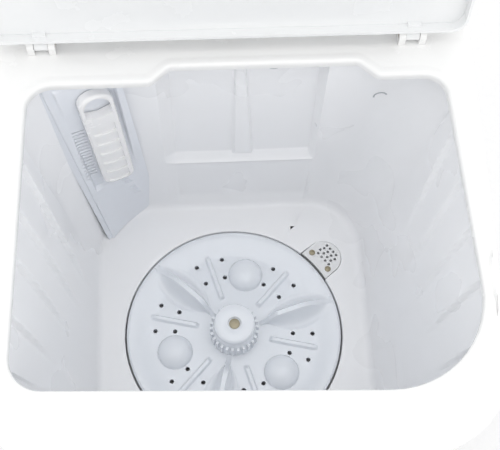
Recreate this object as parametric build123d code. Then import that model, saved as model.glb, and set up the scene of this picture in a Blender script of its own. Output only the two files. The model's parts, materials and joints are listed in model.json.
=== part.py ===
from build123d import *
import math
import os

# A single-tub top load washing machine with a pulsator, in millimetres.
# +Z is up, the front faces -Y, and the origin is on the floor under the middle of the machine.
# The pulsator's shaft stands at (0, SHAFT_Y). Heights of inner parts are counted from the tub floor.

# ---- driving dimensions ----
BODY_WIDTH = 530.0
BODY_DEPTH = 534.0
FRONT_NARROWING = 20.0
FRONT_CORNER_R = 92.0
REAR_CORNER_R = 30.0
DECK_Z = 716.0
TUB_DEPTH = 336.0
PULSATOR_R = 140.0
SHAFT_Y = -52.0
CONSOLE_TOP_Z = 856.0
WALL = 3.0
GAP = 0.3
RUNNING = 0.04

# ---- derived places ----
HALF_W = BODY_WIDTH / 2
HALF_D = BODY_DEPTH / 2
FLOOR_Z = DECK_Z - TUB_DEPTH
DECK_PLATE = 4.0
FLANGE_TOP_Z = DECK_Z - DECK_PLATE - GAP
FLANGE_T = 4.0
CABINET_TOP_Z = FLANGE_TOP_Z - FLANGE_T - GAP
SKIRT_BOTTOM_Z = DECK_Z - 28
CABINET_REAR_Y = HALF_D - 7
SHEET_T = 2.5

# ---- base and feet ----
FOOT_H = 20.0
FOOT_R = 21.0
FOOT_X = 205.0
FOOT_FRONT_Y = -205.0
FOOT_REAR_Y = 225.0
BASE_TOP_Z = 62.0
UPSTAND_TOP_Z = 84.0
BOSS_H = 22.0
BASE_SCREW_Z = 73.0

# ---- cabinet's hand grips, service cover and gland ----
GRIP_Z = 600.0
GRIP_HALF_L = 55.0
GRIP_HALF_H = 20.0
GRIP_DEPTH = 24.0
SIDE_ANGLE = math.degrees(math.atan(FRONT_NARROWING / BODY_DEPTH))
COVER_Y = CABINET_REAR_Y + GAP
AIR_SLOTS = 12
AIR_SLOT_PITCH = 14.0
AIR_SLOT_H = 6.0
GLAND_X = -190.0
GLAND_Z = 140.0
GLAND_R = 9.0

# ---- tub opening, about the shaft ----
OPENING_HALF_W = 224.0
OPENING_SHIFT_X = 8.0
OPENING_TAPER = 0.025
OPENING_FRONT_LEFT = (-217.5, -143.5)
OPENING_FRONT_RIGHT = (234.5, -162.5)
OPENING_LEFT_R = 34.0
OPENING_RIGHT_R = 97.0
OPENING_REAR_Y = 175.5
NOTCH_REAR_Y = 194.0
NOTCH_LEFT_X = -74.0
NOTCH_RIGHT_X = 147.0
NOTCH_RUN = 10.0

# ---- tub inside, about the shaft ----
TUB_FLOOR_HALF_W = 176.0
TUB_FRONT_Y = -175.0
TUB_FRONT_TOP_Y = -168.0
TUB_REAR_Y = 183.5
TUB_REAR_TOP_Y = 197.0
TUB_TOP_HALF_W = 231.5
TUB_FLOOR_CORNER_R = 72.0
TUB_TOP_CORNER_R = 46.0
PANEL_REAR_Y = 189.0
POCKET_REAR_Y = 200.0
POCKET_REAR_TOP_Y = 216.0
POCKET_LEFT_X = -66.0
POCKET_RIGHT_X = 100.0
POCKET_SILL = 129.0
WELL_R = PULSATOR_R + 2.5
WELL_DEPTH = 22.0

# ---- drain pocket and cover ----
DRAIN_ANGLE = 38.0
DRAIN_END_R = 24.0
DRAIN_END_AT = 160.0
DRAIN_SCREW_AT = 154.0
DRAIN_SCREW_SPREAD = 5.8
DRAIN_COVER_T = 3.0
DRAIN_X = DRAIN_END_AT * math.cos(math.radians(DRAIN_ANGLE))
DRAIN_Y = DRAIN_END_AT * math.sin(math.radians(DRAIN_ANGLE))

# ---- pulsator ----
DISC_T = 5.0
DISC_Z = FLOOR_Z - 8
DOME_AT = 81.0
DOME_R = 22.0
DOME_ANGLES = (76.6, -43.4, -163.4)
HUB_TOP_Z = FLOOR_Z + 40
HUB_R = 33.0
HUB_CAP_R = 26.0
HUB_FLUTES = 18
SHAFT_R = 8.0
SHAFT_TOP_Z = HUB_TOP_Z - 6.2

# ---- drive ----
PULLEY_Z = 228.0
PULLEY_H = 14.0
DRIVEN_R = 84.0
MOTOR_PULLEY_R = 29.0
GROOVE_DEPTH = 8.0
GROOVE_H = 9.0
MOTOR_X = -98.0
MOTOR_Y = SHAFT_Y + 108.0
MOTOR_R = 60.0
MOTOR_BOTTOM_Z = 76.0
MOTOR_TOP_Z = 196.0
MOTOR_SHAFT_R = 5.0
MOUNT_AT = 68.0
MOUNT_ANGLES = (90, 210, 330)
MOUNT_BOTTOM_Z = FOOT_H + BOSS_H + GAP
MOUNT_TOP_Z = MOTOR_BOTTOM_Z - 4 - GAP
HOUSING_TOP_Z = FLOOR_Z - WELL_DEPTH - WALL - GAP
HOUSING_BOTTOM_Z = PULLEY_Z + PULLEY_H + 6
CAPACITOR_X = 60.0
CAPACITOR_Y = 170.0

# ---- filter column in the rear left corner, about the shaft ----
COLUMN_FOOT = ((-163.0, 136.0), (-104.0, 186.0))
COLUMN_HEAD = ((-194.0, 176.0), (-111.0, 186.0))
COLUMN_T = 3.0
CASSETTE_LEFT = -16.0
CASSETTE_RIGHT = 24.0
CASSETTE_BOTTOM = -66.0
CASSETTE_TOP = 116.0
CASSETTE_T = 11.0
CASSETTE_BACK = -3.1
CASSETTE_PIVOT = (-65.5, 1.0)

# ---- drain valve behind the tub ----
VALVE_X = DRAIN_X
VALVE_Y = 228.0
VALVE_R = 24.0
VALVE_LIFT = 12.0
SEAT_Z = 288.0
ROD_R = 2.5
ROD_TOP_Z = 780.0
SPRING_R = 10.0
SPRING_WIRE_R = 0.9
SPRING_H = 42.0
HOSE_R = 14.0
OUTLET_Z = 110.0
OUTLET_INNER_X = 224.0
OUTLET_OUTER_X = 262.0
OUTLET_BORE_R = 10.0
OUTLET_SPIGOT_R = 12.5
OVERFLOW_X = 172.0
OVERFLOW_TOP_Z = 640.0

# ---- lid ----
HINGE_Y = SHAFT_Y + 218.0
HINGE_Z = DECK_Z + 9.0
LID_OPEN_ANGLE = 98.0
LID_FRONT_Y = SHAFT_Y - 180.0
LID_REAR_Y = HINGE_Y - 10.0
LID_HALF_W = 249.0
LID_NARROWING = 8.0
LID_BOTTOM_Z = DECK_Z + 1.0
LID_TOP_Z = DECK_Z + 15.0
LID_SKIN = 3.0
HINGE_X = 195.0
PIN_R = 3.0
KNUCKLE_R = 6.0
KNUCKLE_W = 14.0
EAR_W = 7.0
WINDOW_HALF_W = 165.0
WINDOW_HALF_D = 110.0
WINDOW_MID_Y = SHAFT_Y + 12.0

# ---- console and controls ----
CONSOLE_HALF_W = 250.0
CONSOLE_FRONT_Y = SHAFT_Y + 233.0
CONSOLE_TILT = 68.0
CONSOLE_WALL = 3.0
KNOB_R = 23.0
KNOB_H = 16.0
KNOB_UP = 90.0
KNOB_FLUTES = 24
TIMER_X = -130.0
SELECTOR_X = 0.0
DRAIN_KNOB_X = VALVE_X + 26.0
SPINDLE_R = 3.0
CRANK_SPINDLE = 26.0
SLOPE_LENGTH = (CONSOLE_TOP_Z - DECK_Z) / math.sin(math.radians(CONSOLE_TILT))

# ---- water inlet ----
INLET_X = 50.0
INLET_Y = 247.0
INLET_R = 9.0
INLET_MOUTH_Z = DECK_Z - 32.0
INLET_TOP_Z = CONSOLE_TOP_Z + 26.0

os.makedirs("parts", exist_ok=True)


def save(part, name):
    """Writes one sub-part to its own STEP file."""
    part.label = name
    export_step(part, f"parts/{name}.step")


def outline(points, radii):
    """A closed flat face through the points, with one corner radius for each."""
    return make_face(FilletPolyline(*points, radius=radii, close=True).edges())


def prism(face, bottom, top):
    """A face in the XY plane stood up between two heights."""
    return extrude(Pos(0, 0, bottom) * face, amount=top - bottom, dir=(0, 0, 1))


def rod(x, y, bottom, top, radius):
    """An upright round bar."""
    return Pos(x, y, bottom) * Cylinder(radius, top - bottom, align=(Align.CENTER, Align.CENTER, Align.MIN))


def block(x0, x1, y0, y1, z0, z1):
    """A box from its lowest to its highest corner."""
    centre = Pos((x0 + x1) / 2, (y0 + y1) / 2, (z0 + z1) / 2)
    return centre * Box(x1 - x0, y1 - y0, z1 - z0)


def polar(angle, radius):
    """A point about the pulsator's shaft, by angle from +X."""
    turn = math.radians(angle)
    return radius * math.cos(turn), SHAFT_Y + radius * math.sin(turn)


def pan_screw(head_r, head_h, shank_r, shank_l):
    """A pan head screw along +Z, with its head's underside at the origin and a cross recess."""
    head = rod(0, 0, 0, head_h, head_r)
    head = fillet(head.edges().sort_by(Axis.Z)[-1], head_h * 0.6)
    cross = Pos(0, 0, head_h) * (Box(head_r, head_r * 0.22, head_h) + Box(head_r * 0.22, head_r, head_h))
    return head + rod(0, 0, -shank_l, 0.01, shank_r) - cross


# ---------------------------------------------------------------- body shell

def body_outline(inset, rear=HALF_D):
    """The machine's plan, narrower at the front, with large front corners."""
    half_front = HALF_W - FRONT_NARROWING - inset
    half_rear = HALF_W - inset
    points = [
        (-half_rear, rear - inset),
        (-half_front, -HALF_D + inset),
        (half_front, -HALF_D + inset),
        (half_rear, rear - inset),
    ]
    front_r = FRONT_CORNER_R - inset
    rear_r = REAR_CORNER_R - inset
    return outline(points, [rear_r, front_r, front_r, rear_r])


def side_x(y, inset):
    """The half width of the body's plan at a depth y."""
    return HALF_W - inset - FRONT_NARROWING * (HALF_D - y) / BODY_DEPTH


def foot_places():
    """The four feet, seen from above."""
    return [(sx * FOOT_X, y) for sx in (-1, 1) for y in (FOOT_FRONT_Y, FOOT_REAR_Y)]


def motor_mount_places():
    """Three rubber mounts round the motor."""
    turns = [math.radians(angle) for angle in MOUNT_ANGLES]
    return [(MOTOR_X + MOUNT_AT * math.cos(t), MOTOR_Y + MOUNT_AT * math.sin(t)) for t in turns]


def cabinet_screw_places():
    """Points on both sides where the cabinet is held to the base: (side, y)."""
    return [(side, y) for side in (-1, 1) for y in (-120.0, 60.0, 200.0)]


def make_base_tray():
    """A moulded tray with a rim, an upstand inside the cabinet and bosses for the motor."""
    tray = prism(body_outline(0), FOOT_H, BASE_TOP_Z)
    tray -= prism(body_outline(WALL), FOOT_H + 4, BASE_TOP_Z + 1)
    upstand = prism(body_outline(5.8, HALF_D - 4), BASE_TOP_Z - 6, UPSTAND_TOP_Z)
    upstand -= prism(body_outline(8.8, HALF_D - 4), BASE_TOP_Z - 7, UPSTAND_TOP_Z + 1)
    upstand -= block(-300, 300, CABINET_REAR_Y - 9, 300, BASE_TOP_Z, UPSTAND_TOP_Z + 1)
    ledge = prism(body_outline(1), BASE_TOP_Z - 6, BASE_TOP_Z) - prism(body_outline(8), 50, 70)
    tray += upstand + ledge
    for x, y in motor_mount_places():
        tray += rod(x, y, FOOT_H + 3, FOOT_H + BOSS_H, 13)
    for x in (-150.0, -50.0, 50.0, 150.0):
        tray += block(x - 1.5, x + 1.5, -250, 250, FOOT_H + 3, FOOT_H + 12)
    for y in (-150.0, 150.0):
        tray += block(-245, 245, y - 1.5, y + 1.5, FOOT_H + 3, FOOT_H + 12)
    for x, y in foot_places():
        tray -= rod(x, y, FOOT_H - 1, FOOT_H + 15, 8.3)
    for x, y in motor_mount_places():
        tray -= rod(x, y, FOOT_H + 8, FOOT_H + 30, 2.6)
    for side, y in cabinet_screw_places():
        tray -= Pos(side * side_x(y, 7), y, BASE_SCREW_Z) * Rot(0, 90, 0) * Cylinder(2.1, 16)
    return tray


def make_feet():
    """Four rubber feet with a plug that snaps into the tray."""
    feet = Part()
    for x, y in foot_places():
        foot = rod(x, y, 0, FOOT_H - GAP, FOOT_R)
        foot = fillet(foot.edges().sort_by(Axis.Z)[0], 3)
        feet += foot + rod(x, y, FOOT_H - 1, FOOT_H + 10, 8)
        feet -= rod(x, y, -1, 6, 9)
    return feet


def grip_frame(side):
    """The place on a side wall's outer face at the middle of a hand grip, with +X outwards."""
    turn = -SIDE_ANGLE if side > 0 else 180 + SIDE_ANGLE
    return Pos(side * side_x(0, WALL), 0, GRIP_Z) * Rot(0, 0, turn)


def make_cabinet():
    """The sheet wrap: front and both sides in one, with folded rear flanges."""
    shell = prism(body_outline(WALL, HALF_D - 4), BASE_TOP_Z + GAP, CABINET_TOP_Z)
    shell -= prism(body_outline(WALL + SHEET_T, HALF_D - 4), BASE_TOP_Z, CABINET_TOP_Z + 1)
    shell -= block(-212, 212, CABINET_REAR_Y - 10, 300, 92, 668)
    front_face = -HALF_D + WALL
    emboss = block(-150, 150, front_face - 1, front_face + 1.0, 150, 560)
    emboss = fillet(emboss.edges().filter_by(Axis.Y), 24)
    shell -= emboss
    for side in (-1, 1):
        shell -= grip_frame(side) * Box(30, 2 * GRIP_HALF_L + 1, 2 * GRIP_HALF_H + 1)
    for side, y in cabinet_screw_places():
        shell -= Pos(side * side_x(y, 4), y, BASE_SCREW_Z) * Rot(0, 90, 0) * Cylinder(2.1, 16)
    for x, z in rear_screw_places():
        shell -= Pos(x, CABINET_REAR_Y, z) * Rot(90, 0, 0) * Cylinder(1.9, 12)
    return shell - Pos(side_x(VALVE_Y, WALL), VALVE_Y, OUTLET_Z) * Rot(0, 90, 0) * Cylinder(20, 20)


def make_hand_grip(side):
    """A cup let into the side wall, open outwards, for the fingers."""
    cup = Pos(-GRIP_DEPTH / 2 + 1.0, 0, 0) * Box(GRIP_DEPTH, 2 * GRIP_HALF_L, 2 * GRIP_HALF_H)
    hollow = Pos(-GRIP_DEPTH / 2 + 4.0, 0, 0) * Box(GRIP_DEPTH, 2 * GRIP_HALF_L - 6, 2 * GRIP_HALF_H - 6)
    lip = Pos(1.0, 0, 0) * Box(1.4, 2 * GRIP_HALF_L + 9, 2 * GRIP_HALF_H + 9)
    lip = fillet(lip.edges().filter_by(Axis.X), 6)
    return grip_frame(side) * (cup + lip - hollow)


def rear_screw_places():
    """Screws round the service cover: (x, z)."""
    return [(sx * 222.0, z) for sx in (-1, 1) for z in (110.0, 290.0, 470.0, 650.0)]


def make_rear_cover():
    """The service cover on the back, with slots for air and a hole for the lead."""
    back = COVER_Y
    plate = block(-230, 230, back, back + 2, 84, 676)
    plate = fillet(plate.edges().filter_by(Axis.Y), 10)
    raised = block(-195, 195, back - 1, back + 4.5, 120, 640)
    raised = fillet(raised.edges().filter_by(Axis.Y), 18)
    hollow = block(-193, 193, back - 2, back + 2.5, 122, 638)
    plate = plate - block(-193, 193, back - 2, back + 2.1, 122, 638) + (raised - hollow)
    plate -= block(-300, 300, back - 5, back, 0, 800)
    for row in range(AIR_SLOTS):
        z = 150 + row * AIR_SLOT_PITCH
        plate -= block(-70, 70, back - 1, back + 6, z, z + AIR_SLOT_H)
    plate -= Pos(GLAND_X, back, GLAND_Z) * Rot(90, 0, 0) * Cylinder(GLAND_R + GAP, 20)
    for x, z in rear_screw_places():
        plate -= Pos(x, back, z) * Rot(90, 0, 0) * Cylinder(1.9, 12)
    return plate


def make_rear_cover_screws():
    """Eight screws through the service cover."""
    screws = Part()
    for x, z in rear_screw_places():
        screws += Pos(x, COVER_Y + 2.1, z) * Rot(-90, 0, 0) * pan_screw(4, 2.2, 1.7, 8)
    return screws


def make_base_screws():
    """Six screws that hold the cabinet to the tray."""
    screws = Part()
    for side, y in cabinet_screw_places():
        turn = Rot(0, 90, 0) if side > 0 else Rot(0, -90, 0)
        place = Pos(side * (side_x(y, WALL) + 0.5), y, BASE_SCREW_Z)
        screws += place * turn * pan_screw(4, 2.2, 1.8, 8)
    return screws


def make_cable_gland():
    """A strain-relief bush in the service cover, with an empty bore for the mains lead."""
    bush = rod(0, 0, -12, 1.8, GLAND_R) + rod(0, 0, 0, 1.8, GLAND_R + 3)
    bush -= rod(0, 0, -20, 10, 4.2)
    return Pos(GLAND_X, COVER_Y + 4.8, GLAND_Z) * Rot(-90, 0, 0) * bush


# ---------------------------------------------------------------- tub and deck

def opening_outline(grow=0.0):
    """The mouth of the tub in the deck, about the shaft: tapered, with a notch at the back."""
    def half(y):
        return OPENING_HALF_W - OPENING_TAPER * y + grow
    (left_x, left_y), (right_x, right_y) = OPENING_FRONT_LEFT, OPENING_FRONT_RIGHT
    rear = OPENING_REAR_Y + grow
    notch = NOTCH_REAR_Y + grow
    shift = OPENING_SHIFT_X
    points = [
        (left_x - grow, left_y - grow),
        (right_x + grow, right_y - grow),
        (shift + half(rear), rear),
        (NOTCH_RIGHT_X + NOTCH_RUN + grow, rear),
        (NOTCH_RIGHT_X - NOTCH_RUN + grow, notch),
        (NOTCH_LEFT_X + NOTCH_RUN - grow, notch),
        (NOTCH_LEFT_X - NOTCH_RUN - grow, rear),
        (shift - half(rear), rear),
    ]
    radii = [OPENING_LEFT_R + grow, OPENING_RIGHT_R + grow, 25 + grow, 12, 12, 12, 12, 28 + grow]
    return Pos(0, SHAFT_Y) * outline(points, radii)


def tub_section(share, grow):
    """The tub's inner plan at a share of its height, 0 at the floor and 1 at the top."""
    half = TUB_FLOOR_HALF_W + (TUB_TOP_HALF_W - TUB_FLOOR_HALF_W) * share + grow
    front = TUB_FRONT_Y + (TUB_FRONT_TOP_Y - TUB_FRONT_Y) * share - grow
    rear = TUB_REAR_Y + (TUB_REAR_TOP_Y - TUB_REAR_Y) * share + grow
    radius = TUB_FLOOR_CORNER_R + (TUB_TOP_CORNER_R - TUB_FLOOR_CORNER_R) * share + grow
    shift = OPENING_SHIFT_X * share
    points = [(shift - half, front), (shift + half, front), (shift + half, rear), (shift - half, rear)]
    return Pos(0, SHAFT_Y) * outline(points, [radius] * 4)


def tub_space(grow, bottom, pocket=True):
    """The room inside the tub, or with grow its outer shape, from bottom up to the flange."""
    lower = Pos(0, 0, FLOOR_Z + bottom) * tub_section(0, grow)
    upper = Pos(0, 0, FLANGE_TOP_Z) * tub_section(1, grow)
    space = loft([lower, upper])
    if pocket:
        left = POCKET_LEFT_X - grow
        right = POCKET_RIGHT_X + grow
        top = FLANGE_TOP_Z
        sill = FLOOR_Z + POCKET_SILL - grow
        space += block(left - 6, right + 6, SHAFT_Y, SHAFT_Y + PANEL_REAR_Y + grow, FLOOR_Z + bottom, top)
        side = [
            (SHAFT_Y, sill),
            (SHAFT_Y + POCKET_REAR_Y + grow, sill),
            (SHAFT_Y + POCKET_REAR_TOP_Y + grow, top),
            (SHAFT_Y, top),
        ]
        wedge = Plane.YZ * make_face(Polyline(*side, close=True).edges())
        space += Pos(left, 0, 0) * extrude(wedge, amount=right - left, dir=(1, 0, 0))
    return space


def tongue(end_r, inner_r):
    """The drain pocket's plan: a straight tongue out of the well with a round end."""
    end = Pos(DRAIN_END_AT, 0) * Circle(end_r)
    neck = Pos((DRAIN_END_AT + inner_r) / 2, 0) * Rectangle(DRAIN_END_AT - inner_r, 2 * end_r)
    return Pos(0, SHAFT_Y) * Rot(0, 0, DRAIN_ANGLE) * (end + neck)


def drain_screw_places():
    """The two screws of the drain cover."""
    return [polar(DRAIN_ANGLE + s * DRAIN_SCREW_SPREAD, DRAIN_SCREW_AT) for s in (-1, 1)]


def housing_bolt_places():
    """Six bolts that hold the bearing housing under the tub."""
    return [polar(30 + 60 * i, 58) for i in range(6)]


def column_space(back, clear):
    """The corner room behind the filter column's face, moved back by a distance."""
    def plan(pair, z):
        (ax, ay), (bx, by) = pair
        away = (-0.5 * back, 0.86 * back)
        points = [
            (ax + away[0], ay + away[1] + SHAFT_Y),
            (bx + away[0], by + away[1] + SHAFT_Y),
            (bx + away[0], SHAFT_Y + 260),
            (-290, SHAFT_Y + 260),
            (-290, ay + away[1] + SHAFT_Y),
        ]
        return Pos(0, 0, z) * make_face(Polyline(*points, close=True).edges())
    low = plan(COLUMN_FOOT, FLOOR_Z + clear)
    high = plan(COLUMN_HEAD, FLOOR_Z + TUB_DEPTH - DECK_PLATE - 2)
    return loft([low, high], ruled=True)


def make_wash_tub():
    """One moulding: walls, floor, pulsator well, drain pocket and the flange that hangs it."""
    flange = prism(body_outline(WALL + 0.4), FLANGE_TOP_Z - FLANGE_T, FLANGE_TOP_Z)
    tub = tub_space(WALL, -WALL) + flange
    tub -= tub_space(0, 0)
    well = Pos(0, SHAFT_Y) * Circle(WELL_R + WALL) + tongue(DRAIN_END_R + WALL, 100)
    tub += prism(well, FLOOR_Z - WELL_DEPTH - WALL, FLOOR_Z - 1)
    room = Pos(0, SHAFT_Y) * Circle(WELL_R) + tongue(DRAIN_END_R, 100)
    tub -= prism(room, FLOOR_Z - WELL_DEPTH, FLOOR_Z + 1)
    for x, y in drain_screw_places():
        tub += rod(x, y, FLOOR_Z - WELL_DEPTH - 1, FLOOR_Z - DRAIN_COVER_T - GAP, 4)
        tub -= rod(x, y, FLOOR_Z - WELL_DEPTH + 2, FLOOR_Z, 1.5)
    spigot_bottom = FLOOR_Z - WELL_DEPTH - 22
    tub += rod(DRAIN_X, SHAFT_Y + DRAIN_Y, spigot_bottom, FLOOR_Z - WELL_DEPTH - 1, 15)
    tub -= rod(DRAIN_X, SHAFT_Y + DRAIN_Y, spigot_bottom - 1, FLOOR_Z, 12.5)
    tub -= rod(0, SHAFT_Y, FLOOR_Z - 40, FLOOR_Z, 20)
    for x, y in housing_bolt_places():
        tub -= rod(x, y, FLOOR_Z - 40, FLOOR_Z, 2.7)
    tub -= rod(VALVE_X, VALVE_Y, FLANGE_TOP_Z - 9, DECK_Z, 6)
    tub -= block(-190, -150, SHAFT_Y + 214, SHAFT_Y + 250, FLANGE_TOP_Z - 9, DECK_Z)
    tub -= rod(INLET_X, INLET_Y, FLANGE_TOP_Z - 9, DECK_Z, INLET_R + 3.5)
    spout = Pos(INLET_X, SHAFT_Y + POCKET_REAR_TOP_Y, INLET_MOUTH_Z) * Rot(90, 0, 0)
    tub -= spout * Cylinder(INLET_R + GAP, 24)
    tub -= Pos(OVERFLOW_X, SHAFT_Y + 196, OVERFLOW_TOP_Z) * Rot(90, 0, 0) * Cylinder(8.8, 24)
    return tub


def make_top_deck():
    """The top cover: a plate with the tub's mouth, a rolled rim and a skirt over the cabinet."""
    deck = prism(body_outline(0), SKIRT_BOTTOM_Z, DECK_Z)
    deck = fillet(deck.edges().group_by(Axis.Z)[-1], 9)
    deck -= prism(body_outline(2.6), SKIRT_BOTTOM_Z - 1, DECK_Z - DECK_PLATE)
    rim = prism(opening_outline(1.0), DECK_Z - 9, DECK_Z + 0.5)
    deck -= prism(opening_outline(0.5), DECK_Z - 40, DECK_Z + 10)
    rim -= prism(opening_outline(-1.6), DECK_Z - 40, DECK_Z + 10)
    deck += rim
    deck -= rod(VALVE_X, VALVE_Y, DECK_Z - 20, DECK_Z + 5, 6)
    deck -= rod(INLET_X, INLET_Y, DECK_Z - 20, DECK_Z + 5, INLET_R + 3.5)
    deck -= block(-190, -150, SHAFT_Y + 214 + 20, SHAFT_Y + 262, DECK_Z - 20, DECK_Z + 5)
    return deck


# ---------------------------------------------------------------- filter column

def cassette_plane():
    """The plane of the lint cassette: x across the column, y up its face, z into the tub."""
    share = 195.0 / TUB_DEPTH
    ends = [
        [a + (b - a) * share for a, b in zip(foot, head)]
        for foot, head in zip(COLUMN_FOOT, COLUMN_HEAD)
    ]
    middle = [(a + b) / 2 for a, b in zip(*ends)]
    across = (ends[1][0] - ends[0][0], ends[1][1] - ends[0][1], 0)
    foot_mid = [(a + b) / 2 for a, b in zip(*COLUMN_FOOT)]
    head_mid = [(a + b) / 2 for a, b in zip(*COLUMN_HEAD)]
    rise = Vector(head_mid[0] - foot_mid[0], head_mid[1] - foot_mid[1], TUB_DEPTH).normalized()
    normal = Vector(*across).normalized().cross(rise)
    return Plane((middle[0], SHAFT_Y + middle[1], FLOOR_Z + 195), x_dir=across, z_dir=normal)


FACE = cassette_plane()


def on_face(x0, x1, y0, y1, z0, z1):
    """A box in the cassette's own plane."""
    return FACE.location * block(x0, x1, y0, y1, z0, z1)


def make_filter_column():
    """The water-return cover across the tub's corner, with louvres and the cassette's recess."""
    face = column_space(0, GAP) - column_space(COLUMN_T, -5)
    face &= tub_space(-0.5, -1, pocket=False)
    seat = on_face(-33, 30, -78, 126, -3.5, 30)
    ring = on_face(-35, 32, -80, 128, -6, 2) - on_face(-33, 30, -78, 126, -3.5, 30)
    face = face - seat + (ring & tub_space(-0.5, -1, pocket=False) & column_space(-1, GAP))
    for row in range(16):
        up = -46 + row * 6.0
        face -= on_face(-31, -18.5, up, up + 2.6, -12, 12)
    window = on_face(CASSETTE_LEFT + 4, CASSETTE_RIGHT - 4, CASSETTE_BOTTOM + 12, 70, -20, 10)
    return face - window


def make_lint_cassette():
    """The lift-out filter frame: rounded, with an arched finger opening above ribs and a round foot."""
    width = CASSETTE_RIGHT - CASSETTE_LEFT
    middle = (CASSETTE_LEFT + CASSETTE_RIGHT) / 2
    height = CASSETTE_TOP - CASSETTE_BOTTOM
    centre_y = (CASSETTE_TOP + CASSETTE_BOTTOM) / 2
    plan = Pos(middle, centre_y, CASSETTE_BACK) * RectangleRounded(width, height, 17)
    body = extrude(plan, amount=CASSETTE_T)
    body = fillet(body.edges().group_by(Axis.Z)[-1], 3.5)
    finger = Pos(middle, 78, CASSETTE_BACK + 3) * (
        Pos(0, 8) * Rectangle(width - 10, 22) + Pos(0, 19) * Circle((width - 10) / 2)
    )
    finger = extrude(finger, amount=CASSETTE_T + 2)
    window = Pos(middle, -2, CASSETTE_BACK - 1) * RectangleRounded(width - 12, 118, 8)
    window = extrude(window, amount=CASSETTE_T + 4)
    body = body - finger - window
    bar_low = CASSETTE_BACK + 4
    bar_high = CASSETTE_BACK + CASSETTE_T - 2
    for row in range(6):
        y = -50 + row * 20
        body += block(CASSETTE_LEFT + 5, CASSETTE_RIGHT - 5, y, y + 3, bar_low, bar_high)
    body = (FACE.location * body) & tub_space(-1.2, -1, pocket=False)
    return body + FACE.location * Pos(middle, *CASSETTE_PIVOT) * Rot(0, 90, 0) * Cylinder(2, 24)


def make_lint_net():
    """The fine net behind the cassette's ribs."""
    middle = (CASSETTE_LEFT + CASSETTE_RIGHT) / 2
    plan = Pos(middle, -2, CASSETTE_BACK + 1) * RectangleRounded(27.2, 117.2, 7.6)
    return FACE.location * extrude(plan, amount=1.4)


# ---------------------------------------------------------------- drain cover

def make_drain_cover():
    """The perforated tongue over the drain pocket, flush with the tub floor."""
    plan = tongue(DRAIN_END_R - 0.6, 120) - Pos(0, SHAFT_Y) * Circle(WELL_R + 1.2)
    plate = prism(plan, FLOOR_Z - DRAIN_COVER_T, FLOOR_Z)
    for row in range(4):
        for column in range(4):
            across = (column - 1.5) * 7.0 + (row % 2 - 0.5) * 2.0
            along = 159.0 + row * 5.6
            shrink = 0.86 if row == 3 else 1.0
            x, y = polar(DRAIN_ANGLE, along)
            side = math.radians(DRAIN_ANGLE + 90)
            x += across * shrink * math.cos(side)
            y += across * shrink * math.sin(side)
            plate -= rod(x, y, FLOOR_Z - 5, FLOOR_Z + 5, 1.9)
    for x, y in drain_screw_places():
        plate -= rod(x, y, FLOOR_Z - 5, FLOOR_Z + 5, 1.9)
    return plate


def make_drain_cover_screws():
    """Two screws of the drain cover."""
    screws = Part()
    for x, y in drain_screw_places():
        screws += Pos(x, y, FLOOR_Z + 0.1) * pan_screw(4.2, 2.2, 1.3, 12)
    return screws


# ---------------------------------------------------------------- pulsator

def make_pulsator():
    """The dished disc with its hub, domes, ribs, scooped vanes and drain holes."""
    outer = PULSATOR_R
    base = DISC_Z
    profile = [
        (SHAFT_R + RUNNING / 2, base - 4),
        (HUB_R - 2, base - 4),
        (outer - 6, base),
        (outer, base + 1),
        (outer, FLOOR_Z + 1),
        (outer - 5, FLOOR_Z + 3),
        (outer - 16, base + DISC_T),
        (HUB_R + 12, base + DISC_T - 3),
        (HUB_R, base + DISC_T + 1),
        (HUB_CAP_R + 3, HUB_TOP_Z - 8),
        (HUB_CAP_R, HUB_TOP_Z),
        (7.5, HUB_TOP_Z),
        (7.5, HUB_TOP_Z - 6),
        (SHAFT_R + RUNNING / 2, HUB_TOP_Z - 6),
    ]
    face = Plane.XZ * make_face(Polyline(*profile, close=True).edges())
    disc = revolve(face, Axis.Z)
    for angle in DOME_ANGLES:
        turn = Rot(0, 0, angle)
        dome = Pos(DOME_AT, 0, base + DISC_T - 2) * (Sphere(DOME_R) & block(-30, 30, -30, 30, 0, 30))
        disc += turn * (dome & block(0, 200, -30, 30, base, FLOOR_Z + 14))
        for side in (-30, 30):
            rib = block(50, 104, -2.5, 2.5, base + 2, base + DISC_T + 5)
            disc += Rot(0, 0, angle + side) * rib
        vane = block(30, 128, -6, 6, base + 2, base + DISC_T + 8)
        disc += Rot(0, 0, angle + 60) * vane
    for angle in DOME_ANGLES:
        for side in (-40, -20, 20, 40):
            for radius in (103.1, 77.4):
                turn = math.radians(angle + side)
                x, y = radius * math.cos(turn), radius * math.sin(turn)
                disc -= rod(x, y, base - 9, FLOOR_Z + 9, 2.9)
    for flute in range(HUB_FLUTES):
        turn = math.radians(360 / HUB_FLUTES * flute)
        x, y = (HUB_R + 1) * math.cos(turn), (HUB_R + 1) * math.sin(turn)
        disc -= rod(x, y, base + 9, HUB_TOP_Z - 9, 2)
    return Pos(0, SHAFT_Y, 0) * disc


def make_pulsator_screw():
    """The hub screw that holds the pulsator on its shaft."""
    return Pos(0, SHAFT_Y, HUB_TOP_Z - 5.9) * pan_screw(7, 4, 2.9, 16)


def make_pulsator_shaft():
    """The steel shaft from the driven pulley up into the hub."""
    shaft = rod(0, SHAFT_Y, PULLEY_Z - 14, SHAFT_TOP_Z, SHAFT_R)
    return shaft - rod(0, SHAFT_Y, SHAFT_TOP_Z - 24, SHAFT_TOP_Z + 1, 3)


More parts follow.
